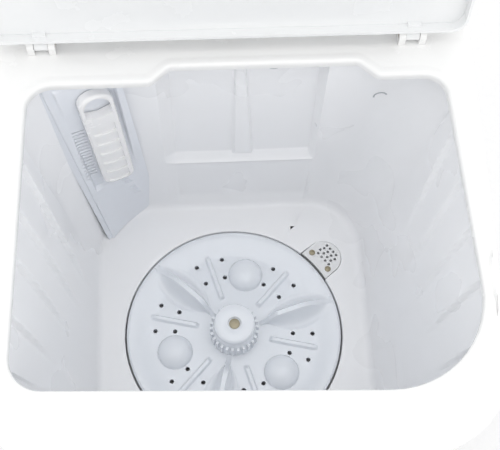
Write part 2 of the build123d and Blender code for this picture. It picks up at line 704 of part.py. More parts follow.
def make_bearing_housing():
    """The cast housing under the tub, with a flange and ribs."""
    housing = rod(0, SHAFT_Y, HOUSING_TOP_Z - 7, HOUSING_TOP_Z, 70)
    housing += rod(0, SHAFT_Y, HOUSING_BOTTOM_Z, HOUSING_TOP_Z, 20)
    for i in range(6):
        rib = block(15, 52, -2.5, 2.5, HOUSING_TOP_Z - 42, HOUSING_TOP_Z - 5)
        housing += Pos(0, SHAFT_Y) * Rot(0, 0, 60 * i) * rib
    for x, y in housing_bolt_places():
        housing -= rod(x, y, HOUSING_TOP_Z - 20, HOUSING_TOP_Z + 1, 2.7)
    return housing - rod(0, SHAFT_Y, HOUSING_BOTTOM_Z - 1, HOUSING_TOP_Z + 1, 13)


def make_housing_bolts():
    """Six bolts through the well into the bearing housing."""
    bolts = Part()
    for x, y in housing_bolt_places():
        bolts += Pos(x, y, FLOOR_Z - WELL_DEPTH + 0.1) * pan_screw(4.5, 2.4, 2.5, 16)
    return bolts


def make_shaft_bushes():
    """Two sintered bushes that carry the shaft."""
    ring = Circle(12.99) - Circle(SHAFT_R + RUNNING)
    lower = prism(Pos(0, SHAFT_Y) * ring, HOUSING_BOTTOM_Z + 2, HOUSING_BOTTOM_Z + 24)
    upper = prism(Pos(0, SHAFT_Y) * ring, HOUSING_TOP_Z - 34, HOUSING_TOP_Z - 12)
    return lower + upper


def make_shaft_seal():
    """The rubber lip seal in the floor of the well."""
    bottom = HOUSING_TOP_Z + 0.1
    ring = prism(Circle(19.9) - Circle(12), bottom, FLOOR_Z - WELL_DEPTH + 3)
    lip = prism(Circle(12.5) - Circle(SHAFT_R + RUNNING), bottom, HOUSING_TOP_Z + 3)
    return Pos(0, SHAFT_Y) * (ring + lip)


# ---------------------------------------------------------------- drive

def pulley(radius, bore, hub_r):
    """A belt pulley from z = 0 to its height, with one groove and a bore."""
    wheel = rod(0, 0, 0, PULLEY_H, radius)
    ring = Circle(radius + 1) - Circle(radius - GROOVE_DEPTH)
    wheel -= prism(ring, (PULLEY_H - GROOVE_H) / 2, (PULLEY_H + GROOVE_H) / 2)
    wheel += rod(0, 0, -4, PULLEY_H + 4, hub_r)
    return wheel - rod(0, 0, -10, PULLEY_H + 10, bore)


def make_driven_pulley():
    """The large pulley, with a dished web and lightening holes."""
    wheel = pulley(DRIVEN_R, SHAFT_R + 0.02, 18)
    web = Circle(DRIVEN_R - 16) - Circle(20)
    wheel -= prism(web, PULLEY_H / 2 + 2.5, PULLEY_H + 1)
    wheel -= prism(web, -1, PULLEY_H / 2 - 2.5)
    for i in range(5):
        turn = math.radians(72 * i)
        wheel -= rod(44 * math.cos(turn), 44 * math.sin(turn), -1, PULLEY_H + 1, 12)
    return Pos(0, SHAFT_Y, PULLEY_Z) * wheel


def make_pulley_nut():
    """The nut under the driven pulley."""
    plan = RegularPolygon(12, 6) - Circle(SHAFT_R + 0.02)
    return prism(Pos(0, SHAFT_Y) * plan, PULLEY_Z - 12, PULLEY_Z - 4.1)


def make_motor_pulley():
    """The small pulley on the motor's shaft."""
    return Pos(MOTOR_X, MOTOR_Y, PULLEY_Z) * pulley(MOTOR_PULLEY_R, MOTOR_SHAFT_R + 0.02, 12)


def belt_loop(extra):
    """The plan of a belt round both pulleys, at a distance outside their groove floors."""
    dx = MOTOR_X
    dy = MOTOR_Y - SHAFT_Y
    distance = math.hypot(dx, dy)
    heading = math.atan2(dy, dx)
    big = DRIVEN_R - GROOVE_DEPTH + extra
    small = MOTOR_PULLEY_R - GROOVE_DEPTH + extra
    lean = math.acos((big - small) / distance)
    points = []
    for radius, cx, cy, sign in ((big, 0, 0, 1), (small, dx, dy, 1), (small, dx, dy, -1), (big, 0, 0, -1)):
        turn = heading + sign * lean
        points.append((cx + radius * math.cos(turn), cy + radius * math.sin(turn)))
    bridge = make_face(Polyline(*points, close=True).edges())
    return Pos(0, SHAFT_Y) * (Circle(big) + Pos(dx, dy) * Circle(small) + bridge)


def make_drive_belt():
    """The rubber belt, clear of both grooves by a hair so that the pulleys turn."""
    middle = PULLEY_Z + PULLEY_H / 2
    half = GROOVE_H / 2 - 0.4
    return prism(belt_loop(7.0) - belt_loop(0.4), middle - half, middle + half)


def make_motor_stator():
    """The motor's case: laminations between two dished covers, bored for the shaft."""
    case = rod(MOTOR_X, MOTOR_Y, MOTOR_BOTTOM_Z, MOTOR_TOP_Z, MOTOR_R - 5)
    case = chamfer(case.edges().group_by(Axis.Z)[-1] + case.edges().group_by(Axis.Z)[0], 14)
    case += rod(MOTOR_X, MOTOR_Y, MOTOR_BOTTOM_Z + 38, MOTOR_TOP_Z - 38, MOTOR_R)
    bore = rod(MOTOR_X, MOTOR_Y, MOTOR_BOTTOM_Z - 1, MOTOR_TOP_Z + 1, MOTOR_SHAFT_R + RUNNING)
    return case - bore


def make_motor_shaft():
    """The rotor's shaft, from the lower cover up through the small pulley."""
    return rod(MOTOR_X, MOTOR_Y, MOTOR_BOTTOM_Z + 4, PULLEY_Z + PULLEY_H + 10, MOTOR_SHAFT_R)


def make_motor_bracket():
    """The pressed plate that carries the motor on its three mounts."""
    plan = Circle(MOTOR_R - 2)
    for angle in MOUNT_ANGLES:
        plan += Rot(0, 0, angle) * Pos(35, 0) * Rectangle(90, 30)
    plate = prism(Pos(MOTOR_X, MOTOR_Y) * plan, MOTOR_BOTTOM_Z - 4, MOTOR_BOTTOM_Z - GAP)
    for x, y in motor_mount_places():
        plate -= rod(x, y, MOTOR_BOTTOM_Z - 10, MOTOR_BOTTOM_Z + 5, 3)
    return plate - rod(MOTOR_X, MOTOR_Y, MOTOR_BOTTOM_Z - 10, MOTOR_BOTTOM_Z + 5, 20)


def make_motor_mounts():
    """Three rubber bushes between the tray and the motor's plate."""
    mounts = Part()
    for x, y in motor_mount_places():
        waist = Pos(x, y) * (Circle(13) - Circle(9.5))
        mount = rod(x, y, MOUNT_BOTTOM_Z, MOUNT_TOP_Z, 12) - rod(x, y, 30, 90, 3)
        mounts += mount - prism(waist, MOUNT_BOTTOM_Z + 9, MOUNT_BOTTOM_Z + 15)
    return mounts


def make_motor_bolts():
    """Three bolts down through the plate and the rubber bushes."""
    bolts = Part()
    for x, y in motor_mount_places():
        bolts += Pos(x, y, MOTOR_BOTTOM_Z - GAP + 0.1) * pan_screw(6, 3.5, 2.5, 46)
    return bolts


def make_run_capacitor():
    """The motor's run capacitor, standing on the tray."""
    can = rod(CAPACITOR_X, CAPACITOR_Y, FOOT_H + 16, FOOT_H + 92, 18)
    can = fillet(can.edges().group_by(Axis.Z)[-1], 3)
    for side in (-1, 1):
        tab = block(-0.4, 0.4, -3, 3, 0, 9)
        can += Pos(CAPACITOR_X + side * 6, CAPACITOR_Y, FOOT_H + 91.5) * tab
    return can


def make_capacitor_clip():
    """The clip that holds the capacitor to the tray."""
    clip = prism(Circle(20.2) - Circle(18.2), FOOT_H + 15.6, FOOT_H + 45)
    clip += block(19, 40, -9, 9, FOOT_H + 13, FOOT_H + 15.6)
    clip += prism(Circle(20.2), FOOT_H + 12.3, FOOT_H + 15.7)
    return Pos(CAPACITOR_X, CAPACITOR_Y) * clip


# ---------------------------------------------------------------- drain

def tube(points, radii, outer, inner):
    """A round tube along straight runs joined by tangent arcs."""
    path = FilletPolyline(*points, radius=radii)
    start = points[0]
    heading = Vector(*points[1]) - Vector(*points[0])
    ring = Plane(origin=start, z_dir=heading) * Circle(outer)
    bore = Plane(origin=start, z_dir=heading) * Circle(inner)
    return sweep(ring, path=path) - sweep(bore, path=path)


def make_drain_duct():
    """The elbow from the tub's spigot back to the drain valve."""
    top = FLOOR_Z - WELL_DEPTH - WALL - 20
    start = (DRAIN_X, SHAFT_Y + DRAIN_Y, top)
    corner = (DRAIN_X, SHAFT_Y + DRAIN_Y, SEAT_Z + 22)
    end = (DRAIN_X, VALVE_Y - VALVE_R - GAP, SEAT_Z + 22)
    duct = tube([start, corner, end], 0.5 * (top - SEAT_Z - 22), 15, 12.5)
    socket = rod(DRAIN_X, SHAFT_Y + DRAIN_Y, top - 4, top + 14, 18)
    socket -= rod(DRAIN_X, SHAFT_Y + DRAIN_Y, top, top + 15, 15.3)
    socket -= rod(DRAIN_X, SHAFT_Y + DRAIN_Y, top - 5, top + 1, 12.5)
    return duct + socket


def make_drain_valve_body():
    """The valve pot: inlet from the tub, a seat, and an outlet below it."""
    pot = rod(VALVE_X, VALVE_Y, SEAT_Z - 34, SEAT_Z + 66, VALVE_R)
    pot -= rod(VALVE_X, VALVE_Y, SEAT_Z, SEAT_Z + 67, VALVE_R - WALL)
    pot -= rod(VALVE_X, VALVE_Y, SEAT_Z - 31, SEAT_Z - 4, VALVE_R - WALL)
    pot -= rod(VALVE_X, VALVE_Y, SEAT_Z - 40, SEAT_Z + 1, 10)
    pot -= Pos(VALVE_X, VALVE_Y - VALVE_R, SEAT_Z + 22) * Rot(90, 0, 0) * Cylinder(12.5, 16)
    pot -= Pos(VALVE_X + VALVE_R, VALVE_Y, SEAT_Z + 22) * Rot(0, 90, 0) * Cylinder(7, 16)
    return pot


def make_drain_valve_cap():
    """The screwed cap that guides the pull rod."""
    cap = rod(VALVE_X, VALVE_Y, SEAT_Z + 66 + GAP, SEAT_Z + 71, VALVE_R + 2)
    collar = Circle(VALVE_R - WALL - GAP) - Circle(16)
    cap += prism(Pos(VALVE_X, VALVE_Y) * collar, SEAT_Z + 58, SEAT_Z + 67)
    return cap - rod(VALVE_X, VALVE_Y, SEAT_Z + 50, SEAT_Z + 80, ROD_R + RUNNING)


def make_drain_valve_plunger():
    """The rubber plug that closes the seat."""
    plug = rod(VALVE_X, VALVE_Y, SEAT_Z + GAP, SEAT_Z + 6, 14)
    plug += rod(VALVE_X, VALVE_Y, SEAT_Z + 6, SEAT_Z + 18, 7)
    return plug - rod(VALVE_X, VALVE_Y, SEAT_Z + 8, SEAT_Z + 20, ROD_R + 0.02)


def make_valve_pull_rod():
    """The wire rod from the plug up to the drain knob, with an eye at its top."""
    bar = rod(VALVE_X, VALVE_Y, SEAT_Z + 8.2, ROD_TOP_Z, ROD_R)
    eye = Pos(VALVE_X, VALVE_Y, ROD_TOP_Z + 6) * Rot(90, 0, 0) * (Cylinder(8, 4) - Cylinder(5, 6))
    return bar + eye


def make_valve_spring():
    """The spring that shuts the valve, between the plug and the cap."""
    bottom = SEAT_Z + 6 + SPRING_WIRE_R + GAP
    path = Pos(VALVE_X, VALVE_Y, bottom) * Helix(SPRING_H / 7, SPRING_H, SPRING_R)
    start = path @ 0
    wire = Plane(origin=start, z_dir=path % 0) * Circle(SPRING_WIRE_R)
    return sweep(wire, path=path, is_frenet=True)


def make_drain_hose():
    """The inside hose from the valve down to the outlet at the back."""
    start = (VALVE_X, VALVE_Y, SEAT_Z - 34 - GAP)
    low = (VALVE_X, VALVE_Y, OUTLET_Z)
    end = (OUTLET_INNER_X, VALVE_Y, OUTLET_Z)
    return tube([start, low, end], 28, HOSE_R, HOSE_R - 2.5)


def make_drain_outlet():
    """The flanged spigot inside the right side's opening, for the outer hose."""
    bar = rod(0, 0, 0, OUTLET_OUTER_X - OUTLET_INNER_X - GAP, OUTLET_SPIGOT_R)
    bar += rod(0, 0, 0, 6, HOSE_R + 3)
    bar -= rod(0, 0, -1, 60, OUTLET_BORE_R)
    return Pos(OUTLET_INNER_X + GAP, VALVE_Y, OUTLET_Z) * Rot(0, 90, 0) * bar


def make_overflow_pipe():
    """The overflow from high in the tub down to the valve."""
    start = (OVERFLOW_X, SHAFT_Y + 194, OVERFLOW_TOP_Z)
    back = (OVERFLOW_X, VALVE_Y, OVERFLOW_TOP_Z)
    low = (OVERFLOW_X, VALVE_Y, SEAT_Z + 22)
    end = (VALVE_X + VALVE_R + GAP, VALVE_Y, SEAT_Z + 22)
    return tube([start, back, low, end], [18, 9], 8.5, 6.5)


# ---------------------------------------------------------------- water inlet

def make_water_inlet():
    """The ribbed inlet spigot on top of the console."""
    spigot = rod(INLET_X, INLET_Y, CONSOLE_TOP_Z + 0.2, INLET_TOP_Z, 9.5)
    spigot += rod(INLET_X, INLET_Y, CONSOLE_TOP_Z + 0.2, CONSOLE_TOP_Z + 3, 11.5)
    spigot += rod(INLET_X, INLET_Y, CONSOLE_TOP_Z - 12, CONSOLE_TOP_Z + 1, 9)
    return spigot - rod(INLET_X, INLET_Y, CONSOLE_TOP_Z - 20, INLET_TOP_Z + 1, 6.5)


def make_inlet_duct():
    """The tube from the inlet down behind the tub and forward into the pocket."""
    top = (INLET_X, INLET_Y, CONSOLE_TOP_Z - 12.3)
    low = (INLET_X, INLET_Y, INLET_MOUTH_Z)
    mouth = (INLET_X, SHAFT_Y + POCKET_REAR_TOP_Y - 4, INLET_MOUTH_Z)
    return tube([top, low, mouth], 24, INLET_R, INLET_R - 2)


# ---------------------------------------------------------------- console

def panel_plane():
    """The console's sloping face: x across, y up the slope, z outwards."""
    slope = math.radians(CONSOLE_TILT)
    up = (0, math.cos(slope), math.sin(slope))
    normal = Vector(1, 0, 0).cross(Vector(*up))
    return Plane((0, CONSOLE_FRONT_Y, DECK_Z), x_dir=(1, 0, 0), z_dir=normal)


PANEL = panel_plane()


def console_side(inset):
    """The console's side profile as a face in the YZ plane."""
    run = (CONSOLE_TOP_Z - DECK_Z) / math.tan(math.radians(CONSOLE_TILT))
    lean = inset / math.sin(math.radians(CONSOLE_TILT))
    rear = HALF_D - 3
    front = CONSOLE_FRONT_Y
    points = [
        (front + lean, DECK_Z + 0.3),
        (front + run + lean - inset / math.tan(math.radians(CONSOLE_TILT)), CONSOLE_TOP_Z - inset),
        (rear + (20 if inset else 0), CONSOLE_TOP_Z - inset),
        (rear + (20 if inset else 0), DECK_Z + 0.3),
    ]
    return Plane.YZ * make_face(Polyline(*points, close=True).edges())


def make_control_console():
    """The rear housing: an open-backed shell with a sloping face and rounded ends."""
    half = CONSOLE_HALF_W
    shell = extrude(console_side(0), amount=half, both=True)
    ends = shell.edges().filter_by(Axis.Z, reverse=True)
    ends = [e for e in ends if abs(abs(e.center().X) - half) < 0.1 and e.center().Y < HALF_D - 5]
    shell = fillet([e for e in ends if e.length > 20 and e.center().Z > DECK_Z + 5], 8)
    shell -= extrude(console_side(CONSOLE_WALL), amount=half - CONSOLE_WALL, both=True)
    shell -= block(-half + CONSOLE_WALL, half - CONSOLE_WALL, CONSOLE_FRONT_Y + 4, 300, DECK_Z, DECK_Z + 3)
    for x in (TIMER_X, SELECTOR_X, DRAIN_KNOB_X):
        shell -= PANEL.location * Pos(x, KNOB_UP, 0) * Cylinder(5.5, 40)
    shell -= rod(INLET_X, INLET_Y, CONSOLE_TOP_Z - 8, CONSOLE_TOP_Z + 5, 9.3)
    for x in (-200.0, 200.0):
        shell -= rod(x, HALF_D - 20, CONSOLE_TOP_Z - 8, CONSOLE_TOP_Z + 5, 1.9)
    return shell


def make_console_panel():
    """The fascia plate on the sloping face, with raised dials round the knobs."""
    plate = extrude(Pos(0, SLOPE_LENGTH / 2 + 2, 0.2) * RectangleRounded(430, 104, 10), amount=2.2)
    for x in (TIMER_X, SELECTOR_X, DRAIN_KNOB_X):
        plate += Pos(x, KNOB_UP, 0.2) * prism(Circle(33) - Circle(27), 0, 3.4)
        plate -= Pos(x, KNOB_UP, 0) * Cylinder(5.5, 20)
    return PANEL.location * plate


def make_console_back():
    """The plate that closes the console from behind."""
    back = HALF_D - 3
    half = CONSOLE_HALF_W - CONSOLE_WALL - GAP
    top = CONSOLE_TOP_Z - CONSOLE_WALL - GAP
    plate = block(-half, half, back - 3, back - 0.5, DECK_Z + 4, top)
    for x in (-200.0, 200.0):
        lug = block(x - 8, x + 8, back - 24, back - 2.9, CONSOLE_TOP_Z - 9, top)
        plate += lug - rod(x, HALF_D - 20, CONSOLE_TOP_Z - 20, CONSOLE_TOP_Z, 1.3)
    return plate


def make_console_screws():
    """Two screws down through the console's top into its back plate."""
    screws = Part()
    for x in (-200.0, 200.0):
        screws += Pos(x, HALF_D - 20, CONSOLE_TOP_Z + 0.1) * pan_screw(4, 2.2, 1.2, 8)
    return screws


def make_switch(x, width, height, depth):
    """A switch body behind the fascia, bored for its spindle."""
    top = -CONSOLE_WALL - GAP
    body = Pos(x, KNOB_UP, top - depth / 2) * Box(width, height, depth)
    body = fillet(body.edges().filter_by(Axis.Z), 3)
    body += Pos(x, KNOB_UP, 0) * prism(Circle(5.2), top - 0.5, 1.5)
    bore = Pos(x, KNOB_UP, 0) * prism(Circle(SPINDLE_R + RUNNING), top - depth - 1, 10)
    return PANEL.location * (body - bore)


def make_knob(x, spindle=20.0):
    """A ribbed round knob with a pointer bar, and its spindle in one piece."""
    base = 4.4
    knob = prism(Circle(KNOB_R), base, base + 7)
    knob = chamfer(knob.edges().group_by(Axis.Z)[-1], 2)
    bar = block(-5.5, 5.5, -KNOB_R + 2, KNOB_R - 2, base + 5, base + KNOB_H)
    knob += fillet(bar.edges().group_by(Axis.Z)[-1], 2.5)
    for flute in range(KNOB_FLUTES):
        turn = math.radians(360 / KNOB_FLUTES * flute)
        knob -= rod((KNOB_R + 0.7) * math.cos(turn), (KNOB_R + 0.7) * math.sin(turn), 0, 40, 1.5)
    knob += prism(Circle(SPINDLE_R), -spindle, base + 1)
    return PANEL.location * Pos(x, KNOB_UP, 0) * knob


def make_lift_crank():
    """The crank on the drain knob's spindle that draws up the pull rod."""
    low = -CRANK_SPINDLE
    plan = Circle(7) + Pos(-8, 0) * Rectangle(16, 8) + Pos(-14, 0) * Circle(5)
    plan -= Circle(SPINDLE_R + 0.02) + Pos(-14, 0) * Circle(2)
    arm = prism(plan, low, low + 3)
    return PANEL.location * Pos(DRAIN_KNOB_X, KNOB_UP, 0) * arm


# ---------------------------------------------------------------- lid

def open_lid(part):
    """Turns a part from the closed place to the open one, about the hinge."""
    to_hinge = Pos(0, HINGE_Y, HINGE_Z)
    return to_hinge * Rot(-LID_OPEN_ANGLE, 0, 0) * to_hinge.inverse() * part


def lid_outline(inset):
    """The lid's plan when closed."""
    half = LID_HALF_W - inset
    front = LID_FRONT_Y + inset
    rear = LID_REAR_Y - inset
    narrow = half - LID_NARROWING
    points = [(-half, rear), (-narrow, front), (narrow, front), (half, rear)]
    return outline(points, [16 - inset / 2, 62 - inset, 62 - inset, 16 - inset / 2])


def make_lid_frame():
    """The lid's shell: a skin with turned-down edges, a window opening and hinge knuckles."""
    shell = prism(lid_outline(0), LID_BOTTOM_Z, LID_TOP_Z)
    shell = fillet(shell.edges().group_by(Axis.Z)[-1], 5)
    shell -= prism(lid_outline(LID_SKIN), LID_BOTTOM_Z - 1, LID_TOP_Z - LID_SKIN)
    window = Pos(0, WINDOW_MID_Y) * RectangleRounded(2 * WINDOW_HALF_W, 2 * WINDOW_HALF_D, 26)
    shell -= prism(window, LID_BOTTOM_Z, LID_TOP_Z + 1)
    bead = RectangleRounded(2 * WINDOW_HALF_W + 18, 2 * WINDOW_HALF_D + 18, 35)
    bead -= RectangleRounded(2 * WINDOW_HALF_W + 13, 2 * WINDOW_HALF_D + 13, 32)
    shell += prism(Pos(0, WINDOW_MID_Y) * bead, LID_TOP_Z - 8, LID_TOP_Z - 1)
    grip = Pos(0, LID_FRONT_Y + 4, LID_BOTTOM_Z - 1) * Box(90, 14, 12)
    shell -= grip
    for x in (-HINGE_X, HINGE_X):
        half = KNUCKLE_W / 2
        arm = block(x - half, x + half, LID_REAR_Y - 6, HINGE_Y, HINGE_Z - 2, HINGE_Z + 5)
        barrel = Pos(x, HINGE_Y, HINGE_Z) * Rot(0, 90, 0) * Cylinder(KNUCKLE_R, KNUCKLE_W)
        shell += arm + barrel
        shell -= Pos(x, HINGE_Y, HINGE_Z) * Rot(0, 90, 0) * Cylinder(PIN_R + RUNNING, KNUCKLE_W + 2)
    return open_lid(shell)


def make_lid_window():
    """The translucent pane held under the lid's skin."""
    pane = RectangleRounded(2 * WINDOW_HALF_W + 12, 2 * WINDOW_HALF_D + 12, 31)
    top = LID_TOP_Z - LID_SKIN - 0.2
    return open_lid(prism(Pos(0, WINDOW_MID_Y) * pane, top - 2.5, top))


def ear_places():
    """The middle of each hinge ear, both sides of both knuckles."""
    offset = KNUCKLE_W / 2 + 0.5 + EAR_W / 2
    return [x + s * offset for x in (-HINGE_X, HINGE_X) for s in (-1, 1)]


def make_hinge_brackets():
    """Four ears on the deck that carry the lid's pins."""
    ears = Part()
    for x in ear_places():
        ear = block(x - EAR_W / 2, x + EAR_W / 2, HINGE_Y - 7, HINGE_Y + 7, DECK_Z + 0.2, HINGE_Z)
        ear += Pos(x, HINGE_Y, HINGE_Z) * Rot(0, 90, 0) * Cylinder(7, EAR_W)
        ears += ear - Pos(x, HINGE_Y, HINGE_Z) * Rot(0, 90, 0) * Cylinder(PIN_R + 0.01, EAR_W + 2)
    return ears


def make_hinge_pins():
    """The two pins through ears and knuckles."""
    pins = Part()
    length = KNUCKLE_W + 1 + 2 * EAR_W
    for x in (-HINGE_X, HINGE_X):
        pins += Pos(x, HINGE_Y, HINGE_Z) * Rot(0, 90, 0) * Cylinder(PIN_R, length)
    return pins


PIECES = {
    "base_tray": make_base_tray,
    "feet": make_feet,
    "cabinet": make_cabinet,
    "hand_grip_left": lambda: make_hand_grip(-1),
    "hand_grip_right": lambda: make_hand_grip(1),
    "rear_cover": make_rear_cover,
    "rear_cover_screws": make_rear_cover_screws,
    "base_screws": make_base_screws,
    "cable_gland": make_cable_gland,
    "wash_tub": make_wash_tub,
    "top_deck": make_top_deck,
    "filter_column": make_filter_column,
    "lint_cassette": make_lint_cassette,
    "lint_net": make_lint_net,
    "drain_cover": make_drain_cover,
    "drain_cover_screws": make_drain_cover_screws,
    "pulsator": make_pulsator,
    "pulsator_screw": make_pulsator_screw,
    "pulsator_shaft": make_pulsator_shaft,
    "bearing_housing": make_bearing_housing,
    "housing_bolts": make_housing_bolts,
    "shaft_bushes": make_shaft_bushes,
    "shaft_seal": make_shaft_seal,
    "driven_pulley": make_driven_pulley,
    "pulley_nut": make_pulley_nut,
    "motor_pulley": make_motor_pulley,
    "drive_belt": make_drive_belt,
    "motor_stator": make_motor_stator,
    "motor_shaft": make_motor_shaft,
    "motor_bracket": make_motor_bracket,
    "motor_mounts": make_motor_mounts,
    "motor_bolts": make_motor_bolts,
    "run_capacitor": make_run_capacitor,
    "capacitor_clip": make_capacitor_clip,
    "drain_duct": make_drain_duct,
    "drain_valve_body": make_drain_valve_body,
    "drain_valve_cap": make_drain_valve_cap,
    "drain_valve_plunger": make_drain_valve_plunger,
    "valve_pull_rod": make_valve_pull_rod,
    "valve_spring": make_valve_spring,
    "drain_hose": make_drain_hose,
    "drain_outlet": make_drain_outlet,
    "overflow_pipe": make_overflow_pipe,
    "water_inlet": make_water_inlet,
    "inlet_duct": make_inlet_duct,
    "control_console": make_control_console,
    "console_panel": make_console_panel,
    "console_back": make_console_back,
    "console_screws": make_console_screws,
    "wash_timer": lambda: make_switch(TIMER_X, 56, 46, 24),
    "wash_selector_switch": lambda: make_switch(SELECTOR_X, 40, 34, 18),
    "drain_selector": lambda: make_switch(DRAIN_KNOB_X, 30, 30, 14),
    "timer_knob": lambda: make_knob(TIMER_X),
    "selector_knob": lambda: make_knob(SELECTOR_X),
    "drain_knob": lambda: make_knob(DRAIN_KNOB_X, CRANK_SPINDLE),
    "lift_crank": make_lift_crank,
    "lid_frame": make_lid_frame,
    "lid_window": make_lid_window,
    "hinge_brackets": make_hinge_brackets,
    "hinge_pins": make_hinge_pins,
}

for name, make in PIECES.items():
    save(make(), name)
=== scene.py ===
"""The looks of a single-tub top load washing machine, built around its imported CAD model."""
import json
import logging
import math
from dataclasses import dataclass, field
from enum import Enum
from typing import Callable, Sequence

import bmesh
import bpy
import numpy as np
from mathutils import Matrix, Vector

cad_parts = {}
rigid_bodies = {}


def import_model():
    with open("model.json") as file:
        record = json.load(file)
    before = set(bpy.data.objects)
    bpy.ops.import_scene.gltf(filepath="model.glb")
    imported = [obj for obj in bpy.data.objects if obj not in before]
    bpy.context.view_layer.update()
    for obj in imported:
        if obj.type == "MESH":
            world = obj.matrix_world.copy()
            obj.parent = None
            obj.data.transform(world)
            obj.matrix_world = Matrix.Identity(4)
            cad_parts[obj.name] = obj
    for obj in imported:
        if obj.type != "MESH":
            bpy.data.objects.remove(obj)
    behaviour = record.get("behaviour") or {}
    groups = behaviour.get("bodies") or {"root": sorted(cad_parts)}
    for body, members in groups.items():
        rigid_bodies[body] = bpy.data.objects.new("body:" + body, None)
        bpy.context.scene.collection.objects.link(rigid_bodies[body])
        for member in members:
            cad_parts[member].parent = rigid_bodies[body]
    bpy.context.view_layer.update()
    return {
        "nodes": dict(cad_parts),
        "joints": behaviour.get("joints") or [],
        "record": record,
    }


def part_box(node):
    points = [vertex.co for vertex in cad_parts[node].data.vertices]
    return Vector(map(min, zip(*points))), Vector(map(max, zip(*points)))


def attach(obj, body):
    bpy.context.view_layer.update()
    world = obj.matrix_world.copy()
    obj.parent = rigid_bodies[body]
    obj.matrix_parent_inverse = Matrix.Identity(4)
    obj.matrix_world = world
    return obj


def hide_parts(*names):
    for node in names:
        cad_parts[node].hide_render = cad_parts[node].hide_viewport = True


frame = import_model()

LOG = logging.getLogger("washer")
MM = 0.001
SHARP = math.radians(38)
BODY_TAPER = 20
BODY_FRONT_R = 92
BODY_REAR_R = 30
BODY_CORNER_LOSS = 1.15

JOINTS = {joint["name"]: joint for joint in frame["joints"]}
SHAFT = Vector(JOINTS["pulsator_spin"]["pos_m"]) / MM
FLOOR_Z = SHAFT.z
FLANGE_TOP_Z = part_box("wash_tub")[1].z / MM
DECK_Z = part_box("hinge_brackets")[0].z / MM - 0.2
TUB_HEIGHT = FLANGE_TOP_Z - FLOOR_Z

Point = tuple[float, float, float]
Grid = np.ndarray


class Side(Enum):
    """A side of the machine, as the sign of its X."""

    LEFT = -1
    RIGHT = 1


# ------------------------------------------------------------------ small tools

def smooth(edge0: float, edge1: float, value: np.ndarray | float) -> np.ndarray:
    """A soft step from 0 at edge0 to 1 at edge1."""
    t = np.clip((np.asarray(value, float) - edge0) / (edge1 - edge0), 0, 1)
    return t * t * (3 - 2 * t)


def link(name: str, mesh: bpy.types.Mesh) -> bpy.types.Object:
    """Puts a mesh into the scene as an object at the origin."""
    piece = bpy.data.objects.new(name, mesh)
    bpy.context.scene.collection.objects.link(piece)
    return piece


def shade(mesh: bpy.types.Mesh, angle: float = SHARP) -> None:
    """Smooth faces, with creases where two faces meet at more than an angle."""
    bm = bmesh.new()
    bm.from_mesh(mesh)
    for face in bm.faces:
        face.smooth = True
    for edge in bm.edges:
        edge.smooth = len(edge.link_faces) == 2 and edge.calc_face_angle(0) < angle
    bm.to_mesh(mesh)
    bm.free()


def mesh_of(bm: bmesh.types.BMesh, name: str, merge: float = 0.002) -> bpy.types.Mesh:
    """Turns a bmesh in millimetres into a clean mesh in metres.

    Args:
        bm: The shape, which is freed.
        name: The mesh's name.
        merge: Points nearer than this, in millimetres, become one.

    Returns:
        The mesh, with smooth faces and creases.
    """
    bmesh.ops.remove_doubles(bm, verts=bm.verts, dist=merge)
    bmesh.ops.scale(bm, vec=(MM, MM, MM), verts=bm.verts)
    mesh = bpy.data.meshes.new(name)
    bm.to_mesh(mesh)
    bm.free()
    shade(mesh)
    return mesh


def add_grid(bm: bmesh.types.BMesh, points: Grid, wrap: bool = False,
             keep: Callable[[int, int], bool] | None = None) -> list[list[bmesh.types.BMVert]]:
    """Adds a sheet of quads over rows and columns of points.

    Args:
        bm: The shape to add to.
        points: Array of rows, columns and xyz, in millimetres.
        wrap: Joins the last column to the first.
        keep: Says whether the quad at a row and column is made; all are when left out.

    Returns:
        The vertices, row by row.
    """
    verts = [[bm.verts.new(p) for p in row] for row in points]
    columns = len(verts[0])
    for r in range(len(verts) - 1):
        for c in range(columns if wrap else columns - 1):
            if keep is None or keep(r, c):
                d = (c + 1) % columns
                bm.faces.new((verts[r][c], verts[r][d], verts[r + 1][d], verts[r + 1][c]))
    return verts


def thicken(piece: bpy.types.Object, thickness: float) -> bpy.types.Object:
    """Gives a sheet its wall on the side away from its faces, and applies it."""
    wall = piece.modifiers.new("wall", "SOLIDIFY")
    wall.thickness = thickness * MM
    wall.offset = -1
    wall.use_even_offset = False
    return bake(piece)


def bake(piece: bpy.types.Object) -> bpy.types.Object:
    """Applies a piece's modifiers, so that its mesh is plain."""
    graph = bpy.context.evaluated_depsgraph_get()
    final = bpy.data.meshes.new_from_object(piece.evaluated_get(graph))
    final.name = piece.name
    piece.modifiers.clear()
    piece.data = final
    return piece


